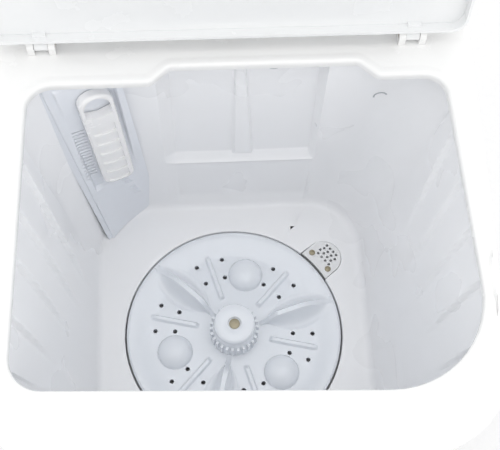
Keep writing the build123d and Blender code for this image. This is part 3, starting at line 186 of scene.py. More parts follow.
def rounded(points: Sequence[tuple[float, float]], radii: Sequence[float],
            steps: int = 10, run: float = 12.0) -> np.ndarray:
    """A closed outline with rounded corners, as evenly laid points.

    Args:
        points: The corners, in order.
        radii: One radius for each corner.
        steps: Points in each corner's arc.
        run: Longest step along a straight stretch.

    Returns:
        Array of points, without the closing one.
    """
    corners = [np.array(p, float) for p in points]
    arcs = []
    for i, corner in enumerate(corners):
        a = corners[i - 1] - corner
        b = corners[(i + 1) % len(corners)] - corner
        a /= np.linalg.norm(a)
        b /= np.linalg.norm(b)
        half = math.acos(float(np.clip(a @ b, -1, 1))) / 2
        centre = corner + (a + b) / np.linalg.norm(a + b) * radii[i] / math.sin(half)
        start, end = (corner + v * radii[i] / math.tan(half) - centre for v in (a, b))
        sweep = math.atan2(start[0] * end[1] - start[1] * end[0], start @ end)
        turns = np.linspace(0, sweep, steps)
        arcs.append([centre + (start[0] * math.cos(t) - start[1] * math.sin(t),
                               start[0] * math.sin(t) + start[1] * math.cos(t)) for t in turns])
    out = []
    for i, arc in enumerate(arcs):
        out += arc
        gap = arcs[(i + 1) % len(arcs)][0] - arc[-1]
        count = max(1, int(np.linalg.norm(gap) // run))
        out += [arc[-1] + gap * k / count for k in range(1, count)]
    return np.array(out)


def outward(loop: np.ndarray, distance: float) -> np.ndarray:
    """Moves a closed anticlockwise loop outwards by a distance."""
    ahead = np.roll(loop, -1, axis=0) - np.roll(loop, 1, axis=0)
    normal = np.stack([ahead[:, 1], -ahead[:, 0]], axis=1)
    return loop + normal / np.linalg.norm(normal, axis=1)[:, None] * distance


def body_loop(inset: float) -> np.ndarray:
    """The machine's plan, narrower at the front, read from the deck's box."""
    low, high = (Vector(c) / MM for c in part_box("top_deck"))
    half, front, rear = high.x + BODY_CORNER_LOSS, low.y, high.y
    narrow = BODY_TAPER + inset
    corners = [(-half + narrow, front + inset), (half - narrow, front + inset),
               (half - inset, rear - inset), (-half + inset, rear - inset)]
    radii = [BODY_FRONT_R - inset] * 2 + [BODY_REAR_R - inset] * 2
    return rounded(corners, radii, 16, 20)


def to_angles(loop: np.ndarray, angles: np.ndarray, centre: tuple[float, float]) -> np.ndarray:
    """The points of a star-shaped loop at given angles about a centre."""
    rel = loop - centre
    phi = np.unwrap(np.arctan2(rel[:, 1], rel[:, 0]))
    phi = np.concatenate([phi - 2 * np.pi, phi, phi + 2 * np.pi])
    order = np.argsort(phi)
    x, y = (np.interp(angles, phi[order], np.tile(rel[:, k], 3)[order]) for k in (0, 1))
    return np.stack([x, y], axis=1) + centre


# ------------------------------------------------------------------ shader groups

MARK_SPAN = 0.4

class ShaderGroup:
    """A shader node group with named inputs and outputs, built once."""

    def __init__(self, name: str, inputs: dict[str, float], outputs: dict[str, str]) -> None:
        """Makes the group's sockets.

        Args:
            name: The group's name.
            inputs: Each float input with its default.
            outputs: Each output with its socket type.
        """
        self.tree = bpy.data.node_groups.new(name, "ShaderNodeTree")
        for key, value in inputs.items():
            socket = self.tree.interface.new_socket(key, in_out="INPUT", socket_type="NodeSocketFloat")
            socket.default_value = value
        for key, kind in outputs.items():
            self.tree.interface.new_socket(key, in_out="OUTPUT", socket_type=kind)
        self.start = self.tree.nodes.new("NodeGroupInput")
        self.end = self.tree.nodes.new("NodeGroupOutput")

    def node(self, kind: str, **settings: object) -> bpy.types.Node:
        """Adds a node; settings are its properties or input values."""
        return add_node(self.tree, kind, **settings)

    def wire(self, source: bpy.types.NodeSocket, target: bpy.types.NodeSocket) -> None:
        """Links two sockets."""
        self.tree.links.new(source, target)


def add_node(tree: bpy.types.NodeTree, kind: str, **settings: object) -> bpy.types.Node:
    """Adds a node and sets its properties, and its inputs where a name is no property.

    Args:
        tree: The node tree.
        kind: The node's type.
        settings: Property values, or input values by name with spaces as underscores.

    Returns:
        The new node.
    """
    node = tree.nodes.new(kind)
    for key, value in settings.items():
        if hasattr(node, key):
            setattr(node, key, value)
        else:
            node.inputs[key.replace("_", " ")].default_value = value
    return node


def make_grain_group() -> bpy.types.NodeTree:
    """Fine moulding grain and slow waviness, as a height and a roughness change."""
    group = ShaderGroup("moulded_grain", {"Grain Scale": 900.0, "Wave Scale": 14.0, "Wave Share": 0.6},
                        {"Height": "NodeSocketFloat", "Change": "NodeSocketFloat"})
    place = group.node("ShaderNodeTexCoord")
    fine = group.node("ShaderNodeTexNoise", Detail=3.0)
    wave = group.node("ShaderNodeTexNoise", Detail=2.0)
    group.wire(place.outputs["Object"], fine.inputs["Vector"])
    group.wire(place.outputs["Object"], wave.inputs["Vector"])
    group.wire(group.start.outputs["Grain Scale"], fine.inputs["Scale"])
    group.wire(group.start.outputs["Wave Scale"], wave.inputs["Scale"])
    mix = group.node("ShaderNodeMix")
    group.wire(group.start.outputs["Wave Share"], mix.inputs["Factor"])
    group.wire(fine.outputs["Fac"], mix.inputs["A"])
    group.wire(wave.outputs["Fac"], mix.inputs["B"])
    group.wire(mix.outputs["Result"], group.end.inputs["Height"])
    group.wire(wave.outputs["Fac"], group.end.inputs["Change"])
    return group.tree


def make_tint_group() -> bpy.types.NodeTree:
    """Slow colour drift over a surface and faint marks of use, as two masks."""
    group = ShaderGroup("tint_and_marks", {"Drift Scale": 3.0, "Mark Scale": 90.0, "Mark Cut": 0.5},
                        {"Drift": "NodeSocketFloat", "Marks": "NodeSocketFloat"})
    place = group.node("ShaderNodeTexCoord")
    drift = group.node("ShaderNodeTexNoise", Detail=4.0, Roughness=0.55)
    marks = group.node("ShaderNodeTexNoise", Detail=6.0, Roughness=0.6)
    ramp = group.node("ShaderNodeMapRange", To_Min=0.0, To_Max=1.0)
    add = group.node("ShaderNodeMath", operation="ADD")
    add.inputs[1].default_value = MARK_SPAN
    for noise, key in ((drift, "Drift Scale"), (marks, "Mark Scale")):
        group.wire(place.outputs["Object"], noise.inputs["Vector"])
        group.wire(group.start.outputs[key], noise.inputs["Scale"])
    group.wire(marks.outputs["Fac"], ramp.inputs["Value"])
    group.wire(group.start.outputs["Mark Cut"], ramp.inputs["From Min"])
    group.wire(group.start.outputs["Mark Cut"], add.inputs[0])
    group.wire(add.outputs[0], ramp.inputs["From Max"])
    group.wire(drift.outputs["Fac"], group.end.inputs["Drift"])
    group.wire(ramp.outputs["Result"], group.end.inputs["Marks"])
    return group.tree


GRAIN = make_grain_group()
TINT = make_tint_group()


# ------------------------------------------------------------------ finishes

Colour = tuple[float, float, float]
MIX_FACTOR, MIX_A, MIX_B, MIX_OUT = 0, 6, 7, 2
COAT_ROUGHNESS = 0.06
WORN_SHADE = 0.86
MARK_ROUGHNESS = 0.25
BRUSH_SCALE = (60, 60, 2600)
WEAVE_TURN = 0.35


class Surface(Enum):
    """How a finish's fine relief is made."""

    GRAIN = "grain"
    BRUSHED = "brushed"
    WOVEN = "woven"


@dataclass(frozen=True)
class Finish:
    """A finish: its two colours, its gloss and its relief. Lengths are in millimetres."""

    name: str
    colour: Colour
    shade: Colour
    roughness: float
    spread: float = 0.06
    grain: float = 900.0
    wave: float = 14.0
    wave_share: float = 0.6
    relief: float = 0.02
    strength: float = 0.25
    coat: float = 0.0
    metallic: float = 0.0
    marks: float = 0.25
    glass: float = 0.0
    sheen: float = 0.0
    surface: Surface = Surface.GRAIN

    def build(self) -> bpy.types.Material:
        """Makes the material.

        Returns:
            A node material on Object coordinates.
        """
        material = bpy.data.materials.new(self.name)
        material.use_nodes = True
        tree = material.node_tree
        tree.nodes.clear()
        out = add_node(tree, "ShaderNodeOutputMaterial")
        shader = add_node(tree, "ShaderNodeBsdfPrincipled")
        shader.inputs["Metallic"].default_value = self.metallic
        shader.inputs["Coat Weight"].default_value = self.coat
        shader.inputs["Coat Roughness"].default_value = COAT_ROUGHNESS
        shader.inputs["Transmission Weight"].default_value = self.glass
        shader.inputs["Sheen Weight"].default_value = self.sheen
        tree.links.new(shader.outputs[0], out.inputs["Surface"])
        tint = add_node(tree, "ShaderNodeGroup")
        tint.node_tree = TINT
        grain = add_node(tree, "ShaderNodeGroup")
        grain.node_tree = GRAIN
        grain.inputs["Grain Scale"].default_value = self.grain
        grain.inputs["Wave Scale"].default_value = self.wave
        grain.inputs["Wave Share"].default_value = self.wave_share
        self._colour(tree, shader, tint)
        self._gloss(tree, shader, tint, grain)
        self._relief(tree, shader, grain)
        return material

    def _colour(self, tree: bpy.types.NodeTree, shader: bpy.types.Node, tint: bpy.types.Node) -> None:
        """Mixes the two colours by drift, then darkens the marks a little."""
        base = add_node(tree, "ShaderNodeMix", data_type="RGBA")
        base.inputs[MIX_A].default_value = (*self.colour, 1)
        base.inputs[MIX_B].default_value = (*self.shade, 1)
        tree.links.new(tint.outputs["Drift"], base.inputs[MIX_FACTOR])
        worn = add_node(tree, "ShaderNodeMix", data_type="RGBA")
        worn.inputs[MIX_B].default_value = (*(c * WORN_SHADE for c in self.shade), 1)
        part = add_node(tree, "ShaderNodeMath", operation="MULTIPLY")
        part.inputs[1].default_value = self.marks
        tree.links.new(tint.outputs["Marks"], part.inputs[0])
        tree.links.new(part.outputs[0], worn.inputs[MIX_FACTOR])
        tree.links.new(base.outputs[MIX_OUT], worn.inputs[MIX_A])
        tree.links.new(worn.outputs[MIX_OUT], shader.inputs["Base Color"])

    def _gloss(self, tree: bpy.types.NodeTree, shader: bpy.types.Node,
               tint: bpy.types.Node, grain: bpy.types.Node) -> None:
        """Lets the roughness wander with the waviness and the marks."""
        span = add_node(tree, "ShaderNodeMapRange", From_Min=0.3, From_Max=0.7)
        span.inputs["To Min"].default_value = max(0.02, self.roughness - self.spread)
        span.inputs["To Max"].default_value = self.roughness + self.spread
        tree.links.new(grain.outputs["Change"], span.inputs["Value"])
        rub = add_node(tree, "ShaderNodeMath", operation="MULTIPLY_ADD")
        rub.inputs[1].default_value = MARK_ROUGHNESS * self.marks
        tree.links.new(tint.outputs["Marks"], rub.inputs[0])
        tree.links.new(span.outputs["Result"], rub.inputs[2])
        tree.links.new(rub.outputs[0], shader.inputs["Roughness"])

    def _relief(self, tree: bpy.types.NodeTree, shader: bpy.types.Node, grain: bpy.types.Node) -> None:
        """Adds the fine relief of grain, brushing or weave."""
        bump = add_node(tree, "ShaderNodeBump")
        bump.inputs["Strength"].default_value = self.strength
        bump.inputs["Distance"].default_value = self.relief * MM
        height = grain.outputs["Height"]
        if self.surface is not Surface.GRAIN:
            place = add_node(tree, "ShaderNodeTexCoord")
            turn = add_node(tree, "ShaderNodeMapping")
            tree.links.new(place.outputs["Object"], turn.inputs["Vector"])
            if self.surface is Surface.BRUSHED:
                turn.inputs["Scale"].default_value = BRUSH_SCALE
                lines = add_node(tree, "ShaderNodeTexNoise", Scale=1.0, Detail=2.0)
                height = lines.outputs["Fac"]
            else:
                turn.inputs["Rotation"].default_value = (0, 0, WEAVE_TURN)
                lines = add_node(tree, "ShaderNodeTexVoronoi", Scale=self.grain)
                height = lines.outputs["Distance"]
            tree.links.new(turn.outputs["Vector"], lines.inputs["Vector"])
        tree.links.new(height, bump.inputs["Height"])
        tree.links.new(bump.outputs["Normal"], shader.inputs["Normal"])


FINISHES: dict[str, Finish] = {f.name: f for f in (
    Finish("deck_plastic", (0.90, 0.90, 0.89), (0.87, 0.87, 0.87), 0.24, coat=0.35, marks=0.12),
    Finish("tub_plastic", (0.93, 0.937, 0.955), (0.922, 0.93, 0.948), 0.30, wave=9, wave_share=0.95,
           coat=0.12, relief=0.05, strength=0.12, marks=0.02),
    Finish("pulsator_plastic", (0.84, 0.87, 0.915), (0.82, 0.855, 0.905), 0.17, coat=0.45, marks=0.1,
           wave=20, relief=0.03),
    Finish("column_plastic", (0.84, 0.865, 0.915), (0.82, 0.85, 0.905), 0.36, marks=0.15),
    Finish("cassette_plastic", (0.93, 0.93, 0.935), (0.91, 0.91, 0.92), 0.24, coat=0.3, marks=0.12),
    Finish("cover_plastic", (0.86, 0.865, 0.875), (0.83, 0.84, 0.85), 0.3, coat=0.1, marks=0.2),
    Finish("net_fabric", (0.70, 0.73, 0.78), (0.60, 0.63, 0.69), 0.75, grain=1400, relief=0.3,
           strength=0.8, sheen=0.3, surface=Surface.WOVEN),
    Finish("body_paint", (0.84, 0.84, 0.835), (0.81, 0.81, 0.81), 0.28, grain=420, wave_share=0.5,
           relief=0.05, coat=0.4, marks=0.15),
    Finish("rear_paint", (0.56, 0.57, 0.58), (0.52, 0.53, 0.55), 0.42, grain=500, relief=0.06),
    Finish("base_plastic", (0.22, 0.235, 0.26), (0.18, 0.195, 0.215), 0.55, grain=700, relief=0.12,
           strength=0.5, wave_share=0.2, marks=0.3),
    Finish("grip_plastic", (0.60, 0.61, 0.63), (0.56, 0.57, 0.60), 0.5, grain=800, relief=0.1,
           strength=0.4, wave_share=0.2),
    Finish("console_plastic", (0.86, 0.86, 0.855), (0.83, 0.83, 0.835), 0.25, coat=0.35, marks=0.12),
    Finish("fascia_plastic", (0.20, 0.285, 0.40), (0.17, 0.25, 0.36), 0.34, grain=1200, relief=0.04,
           strength=0.4, wave_share=0.3, coat=0.2, marks=0.2),
    Finish("print_ink", (0.82, 0.84, 0.86), (0.78, 0.80, 0.83), 0.5, marks=0.3),
    Finish("knob_plastic", (0.86, 0.865, 0.87), (0.82, 0.83, 0.84), 0.22, coat=0.4, marks=0.2),
    Finish("pointer_ink", (0.05, 0.16, 0.42), (0.04, 0.13, 0.36), 0.4, marks=0.3),
    Finish("lid_plastic", (0.87, 0.88, 0.88), (0.84, 0.85, 0.86), 0.23, coat=0.4, marks=0.12),
    Finish("lid_pane", (0.80, 0.88, 0.94), (0.76, 0.85, 0.92), 0.28, glass=0.85, marks=0.1,
           grain=1500, relief=0.05, strength=0.35, wave_share=0.2),
    Finish("foot_rubber", (0.030, 0.030, 0.032), (0.022, 0.022, 0.024), 0.72, grain=600, relief=0.1,
           strength=0.5, marks=0.5),
    Finish("belt_rubber", (0.018, 0.018, 0.019), (0.026, 0.026, 0.028), 0.8, grain=900, relief=0.2,
           strength=0.6, surface=Surface.WOVEN),
    Finish("hose_plastic", (0.46, 0.48, 0.50), (0.42, 0.44, 0.47), 0.5, marks=0.3),
    Finish("valve_plastic", (0.74, 0.74, 0.71), (0.70, 0.70, 0.67), 0.42, marks=0.25),
    Finish("bright_steel", (0.52, 0.47, 0.40), (0.44, 0.39, 0.33), 0.3, metallic=1.0, relief=0.02,
           strength=0.4, marks=0.5, surface=Surface.BRUSHED),
    Finish("aged_steel", (0.46, 0.41, 0.30), (0.36, 0.32, 0.23), 0.42, metallic=0.7, grain=500,
           relief=0.05, marks=0.5),
    Finish("shaft_steel", (0.60, 0.60, 0.61), (0.54, 0.54, 0.56), 0.22, metallic=1.0, relief=0.02,
           strength=0.4, surface=Surface.BRUSHED),
    Finish("cast_alloy", (0.52, 0.53, 0.55), (0.46, 0.47, 0.49), 0.5, metallic=1.0, grain=380,
           relief=0.25, strength=0.6, wave_share=0.2),
    Finish("bronze", (0.50, 0.33, 0.15), (0.42, 0.27, 0.12), 0.45, metallic=1.0, grain=700, relief=0.1),
    Finish("motor_paint", (0.035, 0.038, 0.045), (0.028, 0.030, 0.036), 0.38, grain=450, relief=0.1,
           strength=0.4, marks=0.4),
    Finish("zinc_plate", (0.60, 0.60, 0.56), (0.52, 0.53, 0.50), 0.36, metallic=1.0, grain=260,
           wave=60, relief=0.04, marks=0.4),
    Finish("capacitor_case", (0.72, 0.72, 0.68), (0.68, 0.68, 0.64), 0.4, marks=0.3),
    Finish("switch_case", (0.58, 0.54, 0.42), (0.53, 0.49, 0.38), 0.5, marks=0.3),
)}
MATERIALS: dict[str, bpy.types.Material] = {name: f.build() for name, f in FINISHES.items()}


def dress(piece: bpy.types.Object, finish: str, body: str) -> bpy.types.Object:
    """Gives a piece its finish and its body.

    Args:
        piece: The piece, with its mesh final.
        finish: A name in FINISHES.
        body: The CAD body that it rides on.

    Returns:
        The same piece.
    """
    piece.data.materials.clear()
    piece.data.materials.append(MATERIALS[finish])
    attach(piece, body)
    LOG.info("%s: %d faces, %s, on %s", piece.name, len(piece.data.polygons), finish, body)
    return piece


# ------------------------------------------------------------------ geometry node tools

class NodeShape:
    """A Geometry Nodes tree with named inputs, run once on a piece's points."""

    def __init__(self, name: str, inputs: dict[str, float | int]) -> None:
        """Makes the tree's sockets.

        Args:
            name: The tree's name.
            inputs: Each number with its value; whole numbers make integer sockets.
        """
        self.tree = bpy.data.node_groups.new(name, "GeometryNodeTree")
        face = self.tree.interface
        face.new_socket("Geometry", in_out="INPUT", socket_type="NodeSocketGeometry")
        self.inputs = inputs
        self.ids = {}
        for key, value in inputs.items():
            kind = "NodeSocketInt" if isinstance(value, int) else "NodeSocketFloat"
            self.ids[key] = face.new_socket(key, in_out="INPUT", socket_type=kind).identifier
        self.ids["Material"] = face.new_socket("Material", in_out="INPUT",
                                               socket_type="NodeSocketMaterial").identifier
        face.new_socket("Geometry", in_out="OUTPUT", socket_type="NodeSocketGeometry")
        self.start = self.node("NodeGroupInput")
        self.end = self.node("NodeGroupOutput")

    def node(self, kind: str, **settings: object) -> bpy.types.Node:
        """Adds a node; settings are its properties or input values."""
        return add_node(self.tree, kind, **settings)

    def wire(self, source: bpy.types.NodeSocket, target: bpy.types.NodeSocket) -> None:
        """Links two sockets."""
        self.tree.links.new(source, target)

    def number(self, key: str, target: bpy.types.NodeSocket) -> None:
        """Feeds a named input to a socket."""
        self.wire(self.start.outputs[key], target)

    def close(self, geometry: bpy.types.NodeSocket) -> None:
        """Ends the tree in Realize Instances and Set Material."""
        real = self.node("GeometryNodeRealizeInstances")
        paint = self.node("GeometryNodeSetMaterial")
        self.wire(geometry, real.inputs[0])
        self.wire(real.outputs[0], paint.inputs["Geometry"])
        self.wire(self.start.outputs["Material"], paint.inputs["Material"])
        self.wire(paint.outputs[0], self.end.inputs[0])

    def run(self, piece: bpy.types.Object, material: bpy.types.Material,
            **values: float | int) -> bpy.types.Object:
        """Runs the tree on a piece and keeps its result as a plain mesh.

        Args:
            piece: The piece whose mesh is the tree's input.
            material: The finish that the tree sets.
            values: Numbers that differ from the tree's own, with underscores for spaces.

        Returns:
            The same piece.
        """
        live = piece.modifiers.new(self.tree.name, "NODES")
        live.node_group = self.tree
        given = {key.replace("_", " "): value for key, value in values.items()}
        for key, value in self.inputs.items():
            live[self.ids[key]] = given.get(key, value)
        live[self.ids["Material"]] = material
        bake(piece)
        shade(piece.data)
        return piece


def points_mesh(name: str, places: Sequence[Point], facing: Sequence[Point],
                along: Sequence[Point]) -> bpy.types.Object:
    """An object of loose points, each with the way that it faces and its length's way."""
    mesh = bpy.data.meshes.new(name)
    mesh.from_pydata([Vector(p) * MM for p in places], [], [])
    for key, ways in (("facing", facing), ("along", along)):
        attribute = mesh.attributes.new(key, "FLOAT_VECTOR", "POINT")
        attribute.data.foreach_set("vector", np.array([tuple(w) for w in ways], np.float32).ravel())
    return link(name, mesh)


def on_points(shape: NodeShape, instance: bpy.types.NodeSocket) -> bpy.types.NodeSocket:
    """Places a shape on every input point, turned by the point's two directions."""
    put = shape.node("GeometryNodeInstanceOnPoints")
    turn = shape.node("FunctionNodeAlignRotationToVector", axis="Z")
    roll = shape.node("FunctionNodeAlignRotationToVector", axis="Y", pivot_axis="Z")
    for key, target in (("facing", turn), ("along", roll)):
        way = shape.node("GeometryNodeInputNamedAttribute", data_type="FLOAT_VECTOR")
        way.inputs["Name"].default_value = key
        shape.wire(way.outputs["Attribute"], target.inputs["Vector"])
    shape.wire(turn.outputs["Rotation"], roll.inputs["Rotation"])
    shape.wire(shape.start.outputs["Geometry"], put.inputs["Points"])
    shape.wire(instance, put.inputs["Instance"])
    shape.wire(roll.outputs["Rotation"], put.inputs["Rotation"])
    return put.outputs["Instances"]


def make_screw_shape() -> NodeShape:
    """Domed heads with a cross recess, one on each point.

    Returns:
        The tree, with the head's radius and height and the cross's arm as inputs.
    """
    shape = NodeShape("cross_head_screws", {"Head Radius": 0.004, "Head Height": 0.0022, "Arm": 0.0042,
                                            "Arm Width": 0.0009})
    dome = shape.node("GeometryNodeMeshUVSphere")
    dome.inputs["Segments"].default_value = 32
    dome.inputs["Rings"].default_value = 16
    shape.number("Head Radius", dome.inputs["Radius"])
    ratio = shape.node("ShaderNodeMath", operation="DIVIDE")
    shape.number("Head Height", ratio.inputs[0])
    shape.number("Head Radius", ratio.inputs[1])
    squash = shape.node("ShaderNodeCombineXYZ", X=1.0, Y=1.0)
    shape.wire(ratio.outputs[0], squash.inputs["Z"])
    press = shape.node("GeometryNodeTransform")
    shape.wire(dome.outputs["Mesh"], press.inputs["Geometry"])
    shape.wire(squash.outputs[0], press.inputs["Scale"])
    cut = shape.node("GeometryNodeMeshBoolean", operation="DIFFERENCE")
    cut.solver = "EXACT"
    shape.wire(press.outputs[0], cut.inputs["Mesh 1"])
    for turned in (False, True):
        arm = shape.node("GeometryNodeMeshCube")
        size = shape.node("ShaderNodeCombineXYZ")
        shape.number("Arm Width" if turned else "Arm", size.inputs["X"])
        shape.number("Arm" if turned else "Arm Width", size.inputs["Y"])
        shape.number("Head Height", size.inputs["Z"])
        lift = shape.node("ShaderNodeCombineXYZ")
        shape.number("Head Height", lift.inputs["Z"])
        move = shape.node("GeometryNodeTransform")
        shape.wire(size.outputs[0], arm.inputs["Size"])
        shape.wire(arm.outputs["Mesh"], move.inputs["Geometry"])
        shape.wire(lift.outputs[0], move.inputs["Translation"])
        shape.wire(move.outputs[0], cut.inputs["Mesh 2"])
    shape.close(on_points(shape, cut.outputs["Mesh"]))
    return shape


def make_bar_shape(name: str, size: Point) -> NodeShape:
    """Small bars, one on each point, standing out along the point's direction.

    Args:
        name: The tree's name.
        size: The bar's width, length and height in metres.

    Returns:
        The tree, with the three sizes as inputs.
    """
    shape = NodeShape(name, {"Width": size[0], "Length": size[1], "Height": size[2]})
    bar = shape.node("GeometryNodeMeshCube")
    sizes = shape.node("ShaderNodeCombineXYZ")
    for key, axis in (("Width", "X"), ("Length", "Y"), ("Height", "Z")):
        shape.number(key, sizes.inputs[axis])
    shape.wire(sizes.outputs[0], bar.inputs["Size"])
    shape.close(on_points(shape, bar.outputs["Mesh"]))
    return shape


def make_drill_shape() -> NodeShape:
    """Round cutters, one on each point.

    Returns:
        The tree, with the cutter's radius and depth as inputs.
    """
    shape = NodeShape("drills", {"Radius": 0.0029, "Depth": 0.03})
    drill = shape.node("GeometryNodeMeshCylinder")
    drill.inputs["Vertices"].default_value = 28
    shape.number("Radius", drill.inputs["Radius"])
    shape.number("Depth", drill.inputs["Depth"])
    shape.close(on_points(shape, drill.outputs["Mesh"]))
    return shape


def cut_away(piece: bpy.types.Object, cutter: bpy.types.Object) -> bpy.types.Object:
    """Cuts one object out of another and removes the cutter."""
    cut = piece.modifiers.new("cut", "BOOLEAN")
    cut.operation = "DIFFERENCE"
    cut.solver = "EXACT"
    cut.object = cutter
    bake(piece)
    bpy.data.objects.remove(cutter)
    shade(piece.data)
    return piece


SCREWS = make_screw_shape()
BARS = make_bar_shape("small_bars", (0.001, 0.006, 0.001))
DRILLS = make_drill_shape()


# ------------------------------------------------------------------ wash tub

@dataclass(frozen=True)
class RibSet:
    """One side wall's leaning steps: their places at the top, their lean and where they end."""

    lines: tuple[float, ...]
    lean: float
    gain: float
    end_z: float
    end_from: float
    end_lean: float


RIBS = {
    Side.LEFT: RibSet((150.0, 96.0, 42.0, -10.0, -70.0, -130.0), 0.1086, 0.00078, 98, 96, 0.75),
    Side.RIGHT: RibSet((165.0, 111.0, 56.0, 2.0, -54.0, -110.0), 0.140, 0.0013, 205, 0, 0.1),
}


@dataclass(frozen=True)
class WashTub:
    """The tub's moulding: ribbed walls, a recessed rear panel, the floor and the well, in millimetres."""

    floor_half: float = 176.0
    top_half: float = 231.5
    front: tuple[float, float] = (-175.0, -168.0)
    rear: tuple[float, float] = (183.5, 197.0)
    corner: tuple[float, float] = (72.0, 46.0)
    rear_left: tuple[float, float] = (80.0, 72.0)
    shift: float = 8.0
    panel_y: float = 189.0
    pocket_y: tuple[float, float] = (197.0, 216.0)
    sill: float = 129.0
    left_return: tuple[float, float] = (-80.0, -66.0)
    right_return: tuple[float, float] = (108.0, 101.0)
    fillet: float = 9.0
    well_r: float = 142.5
    well_depth: float = 22.0
    tongue_at: float = 160.0
    tongue_r: float = 24.0
    tongue_angle: float = 38.0
    wall: float = 3.0
    rib: float = 5.5
    rib_top: float = 306.0
    well_floor_rings: tuple[float, ...] = (138.0, 110.0, 60.0, 21.0)

    def recess(self, z: float) -> float:
        """How far back the rear panel or pocket lies at a height."""
        rise = max(0.0, z - self.sill) / (TUB_HEIGHT - self.sill)
        back = self.pocket_y[0] + (self.pocket_y[1] - self.pocket_y[0]) * rise
        bead = 1.6 * math.exp(-((z - self.sill + 7.5) / 2.0) ** 2)
        step = float(np.clip((z - self.sill + 7) / 13, 0, 1))
        return self.panel_y + (back - self.panel_y) * step - bead

    def ribbing(self, side: Side, y: float, z: float) -> float:
        """How far a side wall stands in at a place: shallow leaning steps that fade downwards."""
        ribs = RIBS[side]
        lines, down = ribs.lines, self.rib_top - z
        top_y = (y + down * ribs.lean) / (1 - min(down, 300) * ribs.gain)
        if not lines[-1] < top_y < lines[0]:
            return 0.0
        k = next(i for i in range(1, len(lines)) if top_y >= lines[i])
        share = (top_y - lines[k]) / (lines[k - 1] - lines[k])
        end = ribs.end_z + (ribs.end_from - top_y) * ribs.end_lean
        fade = smooth(end - 70, end + 60, z) * smooth(-0.02, 0.06, share)
        return self.rib * float(fade) * (1 - share) ** 1.2

    def loop(self, z: float) -> np.ndarray:
        """The tub's inner plan at a height, with a fixed number of points.

        Args:
            z: Height above the tub's floor.

        Returns:
            Anticlockwise points about the shaft.
        """
        s = z / TUB_HEIGHT

        def mix(pair: tuple[float, float]) -> float:
            """A measure at this height, from its values at the floor and at the top."""
            return pair[0] + (pair[1] - pair[0]) * s

        half, front, rear = mix((self.floor_half, self.top_half)), mix(self.front), mix(self.rear)
        r, wide = mix(self.corner), mix(self.rear_left)
        left, right = self.shift * s - half, self.shift * s + half

        def arc(cx: float, cy: float, start: float, radius: float = r) -> list[tuple[float, float]]:
            """A quarter turn of a corner, with its ends."""
            turns = [math.radians(start + t) for t in np.linspace(0, 90, 15)]
            return [(cx + radius * math.cos(t), cy + radius * math.sin(t)) for t in turns]

        points = [(x, front) for x in np.linspace(left + r, right - r, 42)[:-1]]
        points += arc(right - r, front + r, -90)
        for y in np.linspace(front + r, rear - r, 112)[1:-1]:
            points.append((right - self.ribbing(Side.RIGHT, y, z), y))
        points += arc(right - r, rear - r, 0)
        fade = float(smooth(9.5, 24, z))
        deep = rear + (self.recess(z) - rear) * fade
        outer = min(self.right_return[0], right - r - 1)
        widen = 0.4 + 0.6 * float(smooth(120, 135, z))
        inner = outer - (self.right_return[0] - self.right_return[1]) * widen
        points += [(x, rear) for x in np.linspace(right - r, outer, 8)[1:]]
        points += [(outer + (inner - outer) * t, rear + (deep - rear) * t) for t in (0.08, 0.5, 0.92)]
        for x in np.linspace(inner, self.left_return[1], 84):
            points.append((x, deep - self.centre_rib(x, z) * fade))
        b, a = self.left_return
        points += [(a + (b - a) * t, deep + (rear - deep) * t) for t in (0.05, 0.5, 0.95)]
        points += [(x, rear) for x in np.linspace(b, left + wide, 8)[:-1]]
        points += arc(left + wide, rear - wide, 90, wide)
        for y in np.linspace(rear - wide, front + r, 112)[1:-1]:
            points.append((left + self.ribbing(Side.LEFT, y, z), y))
        points += arc(left + r, front + r, 180)
        return np.array(points)

    def centre_rib(self, x: float, z: float) -> float:
        """How far the pocket's central rib stands out at a place."""
        rise = float(np.clip((z - self.sill) / (TUB_HEIGHT - self.sill), 0, 1))
        low, high = 6 + 2 * rise, 30 - 13 * rise
        shape = smooth(low - 1.5, low + 1.5, x) * (1 - smooth(high - 1.5, high + 1.5, x))
        return 4.0 * float(shape) * float(smooth(self.sill + 1, self.sill + 7, z))

    def well(self, angle: float, grow: float = 0.0) -> float:
        """The well's radius, with the drain's tongue, at an angle about the shaft."""
        off = abs(math.remainder(angle - math.radians(self.tongue_angle), 2 * math.pi))
        radius, end = self.well_r + grow, self.tongue_r + grow
        across = self.tongue_at * math.sin(off)
        if off < math.pi / 2 and across < end:
            return max(radius, self.tongue_at * math.cos(off) + math.sqrt(end ** 2 - across ** 2))
        if off < math.pi / 2 and radius * math.sin(off) < end:
            return max(radius, end / math.sin(off))
        return radius

    def build(self) -> None:
        """Makes the tub as one sheet, thickens it outwards and hangs it in the machine."""
        heights = sorted({*np.linspace(self.fillet, 120, 16), *np.linspace(121, 138, 18),
                          *np.linspace(140, TUB_HEIGHT - 0.4, 44)}, reverse=True)
        top = self.loop(TUB_HEIGHT)
        angles = np.unwrap(np.arctan2(top[:, 1], top[:, 0]))
        edge = to_angles(body_loop(3.5) - (0, SHAFT.y), angles, (0, 0))
        rows = [np.column_stack([edge * k + top * (1 - k), np.full(len(top), TUB_HEIGHT - 0.1)])
                for k in (1.0, 0.6, 0.25, 0.04)]
        rows += [np.column_stack([self.loop(z), np.full(len(top), z)]) for z in heights]
        base = self.loop(0)
        for turn in np.linspace(10, 90, 9):
            inset = self.fillet * (1 - math.cos(math.radians(turn)))
            z = self.fillet * (1 - math.sin(math.radians(turn)))
            rows.append(np.column_stack([outward(self.loop(z), -inset), np.full(len(top), z)]))
        last = rows[-1][:, :2]
        around = np.arctan2(last[:, 1], last[:, 0])
        ring = np.stack([np.cos(around), np.sin(around)], axis=1)

        def lip(grow: float, z: float) -> np.ndarray:
            """The well's outline grown by a distance, at a height."""
            reach = np.array([self.well(a, grow) for a in around])
            return np.column_stack([ring * reach[:, None], np.full(len(around), z)])

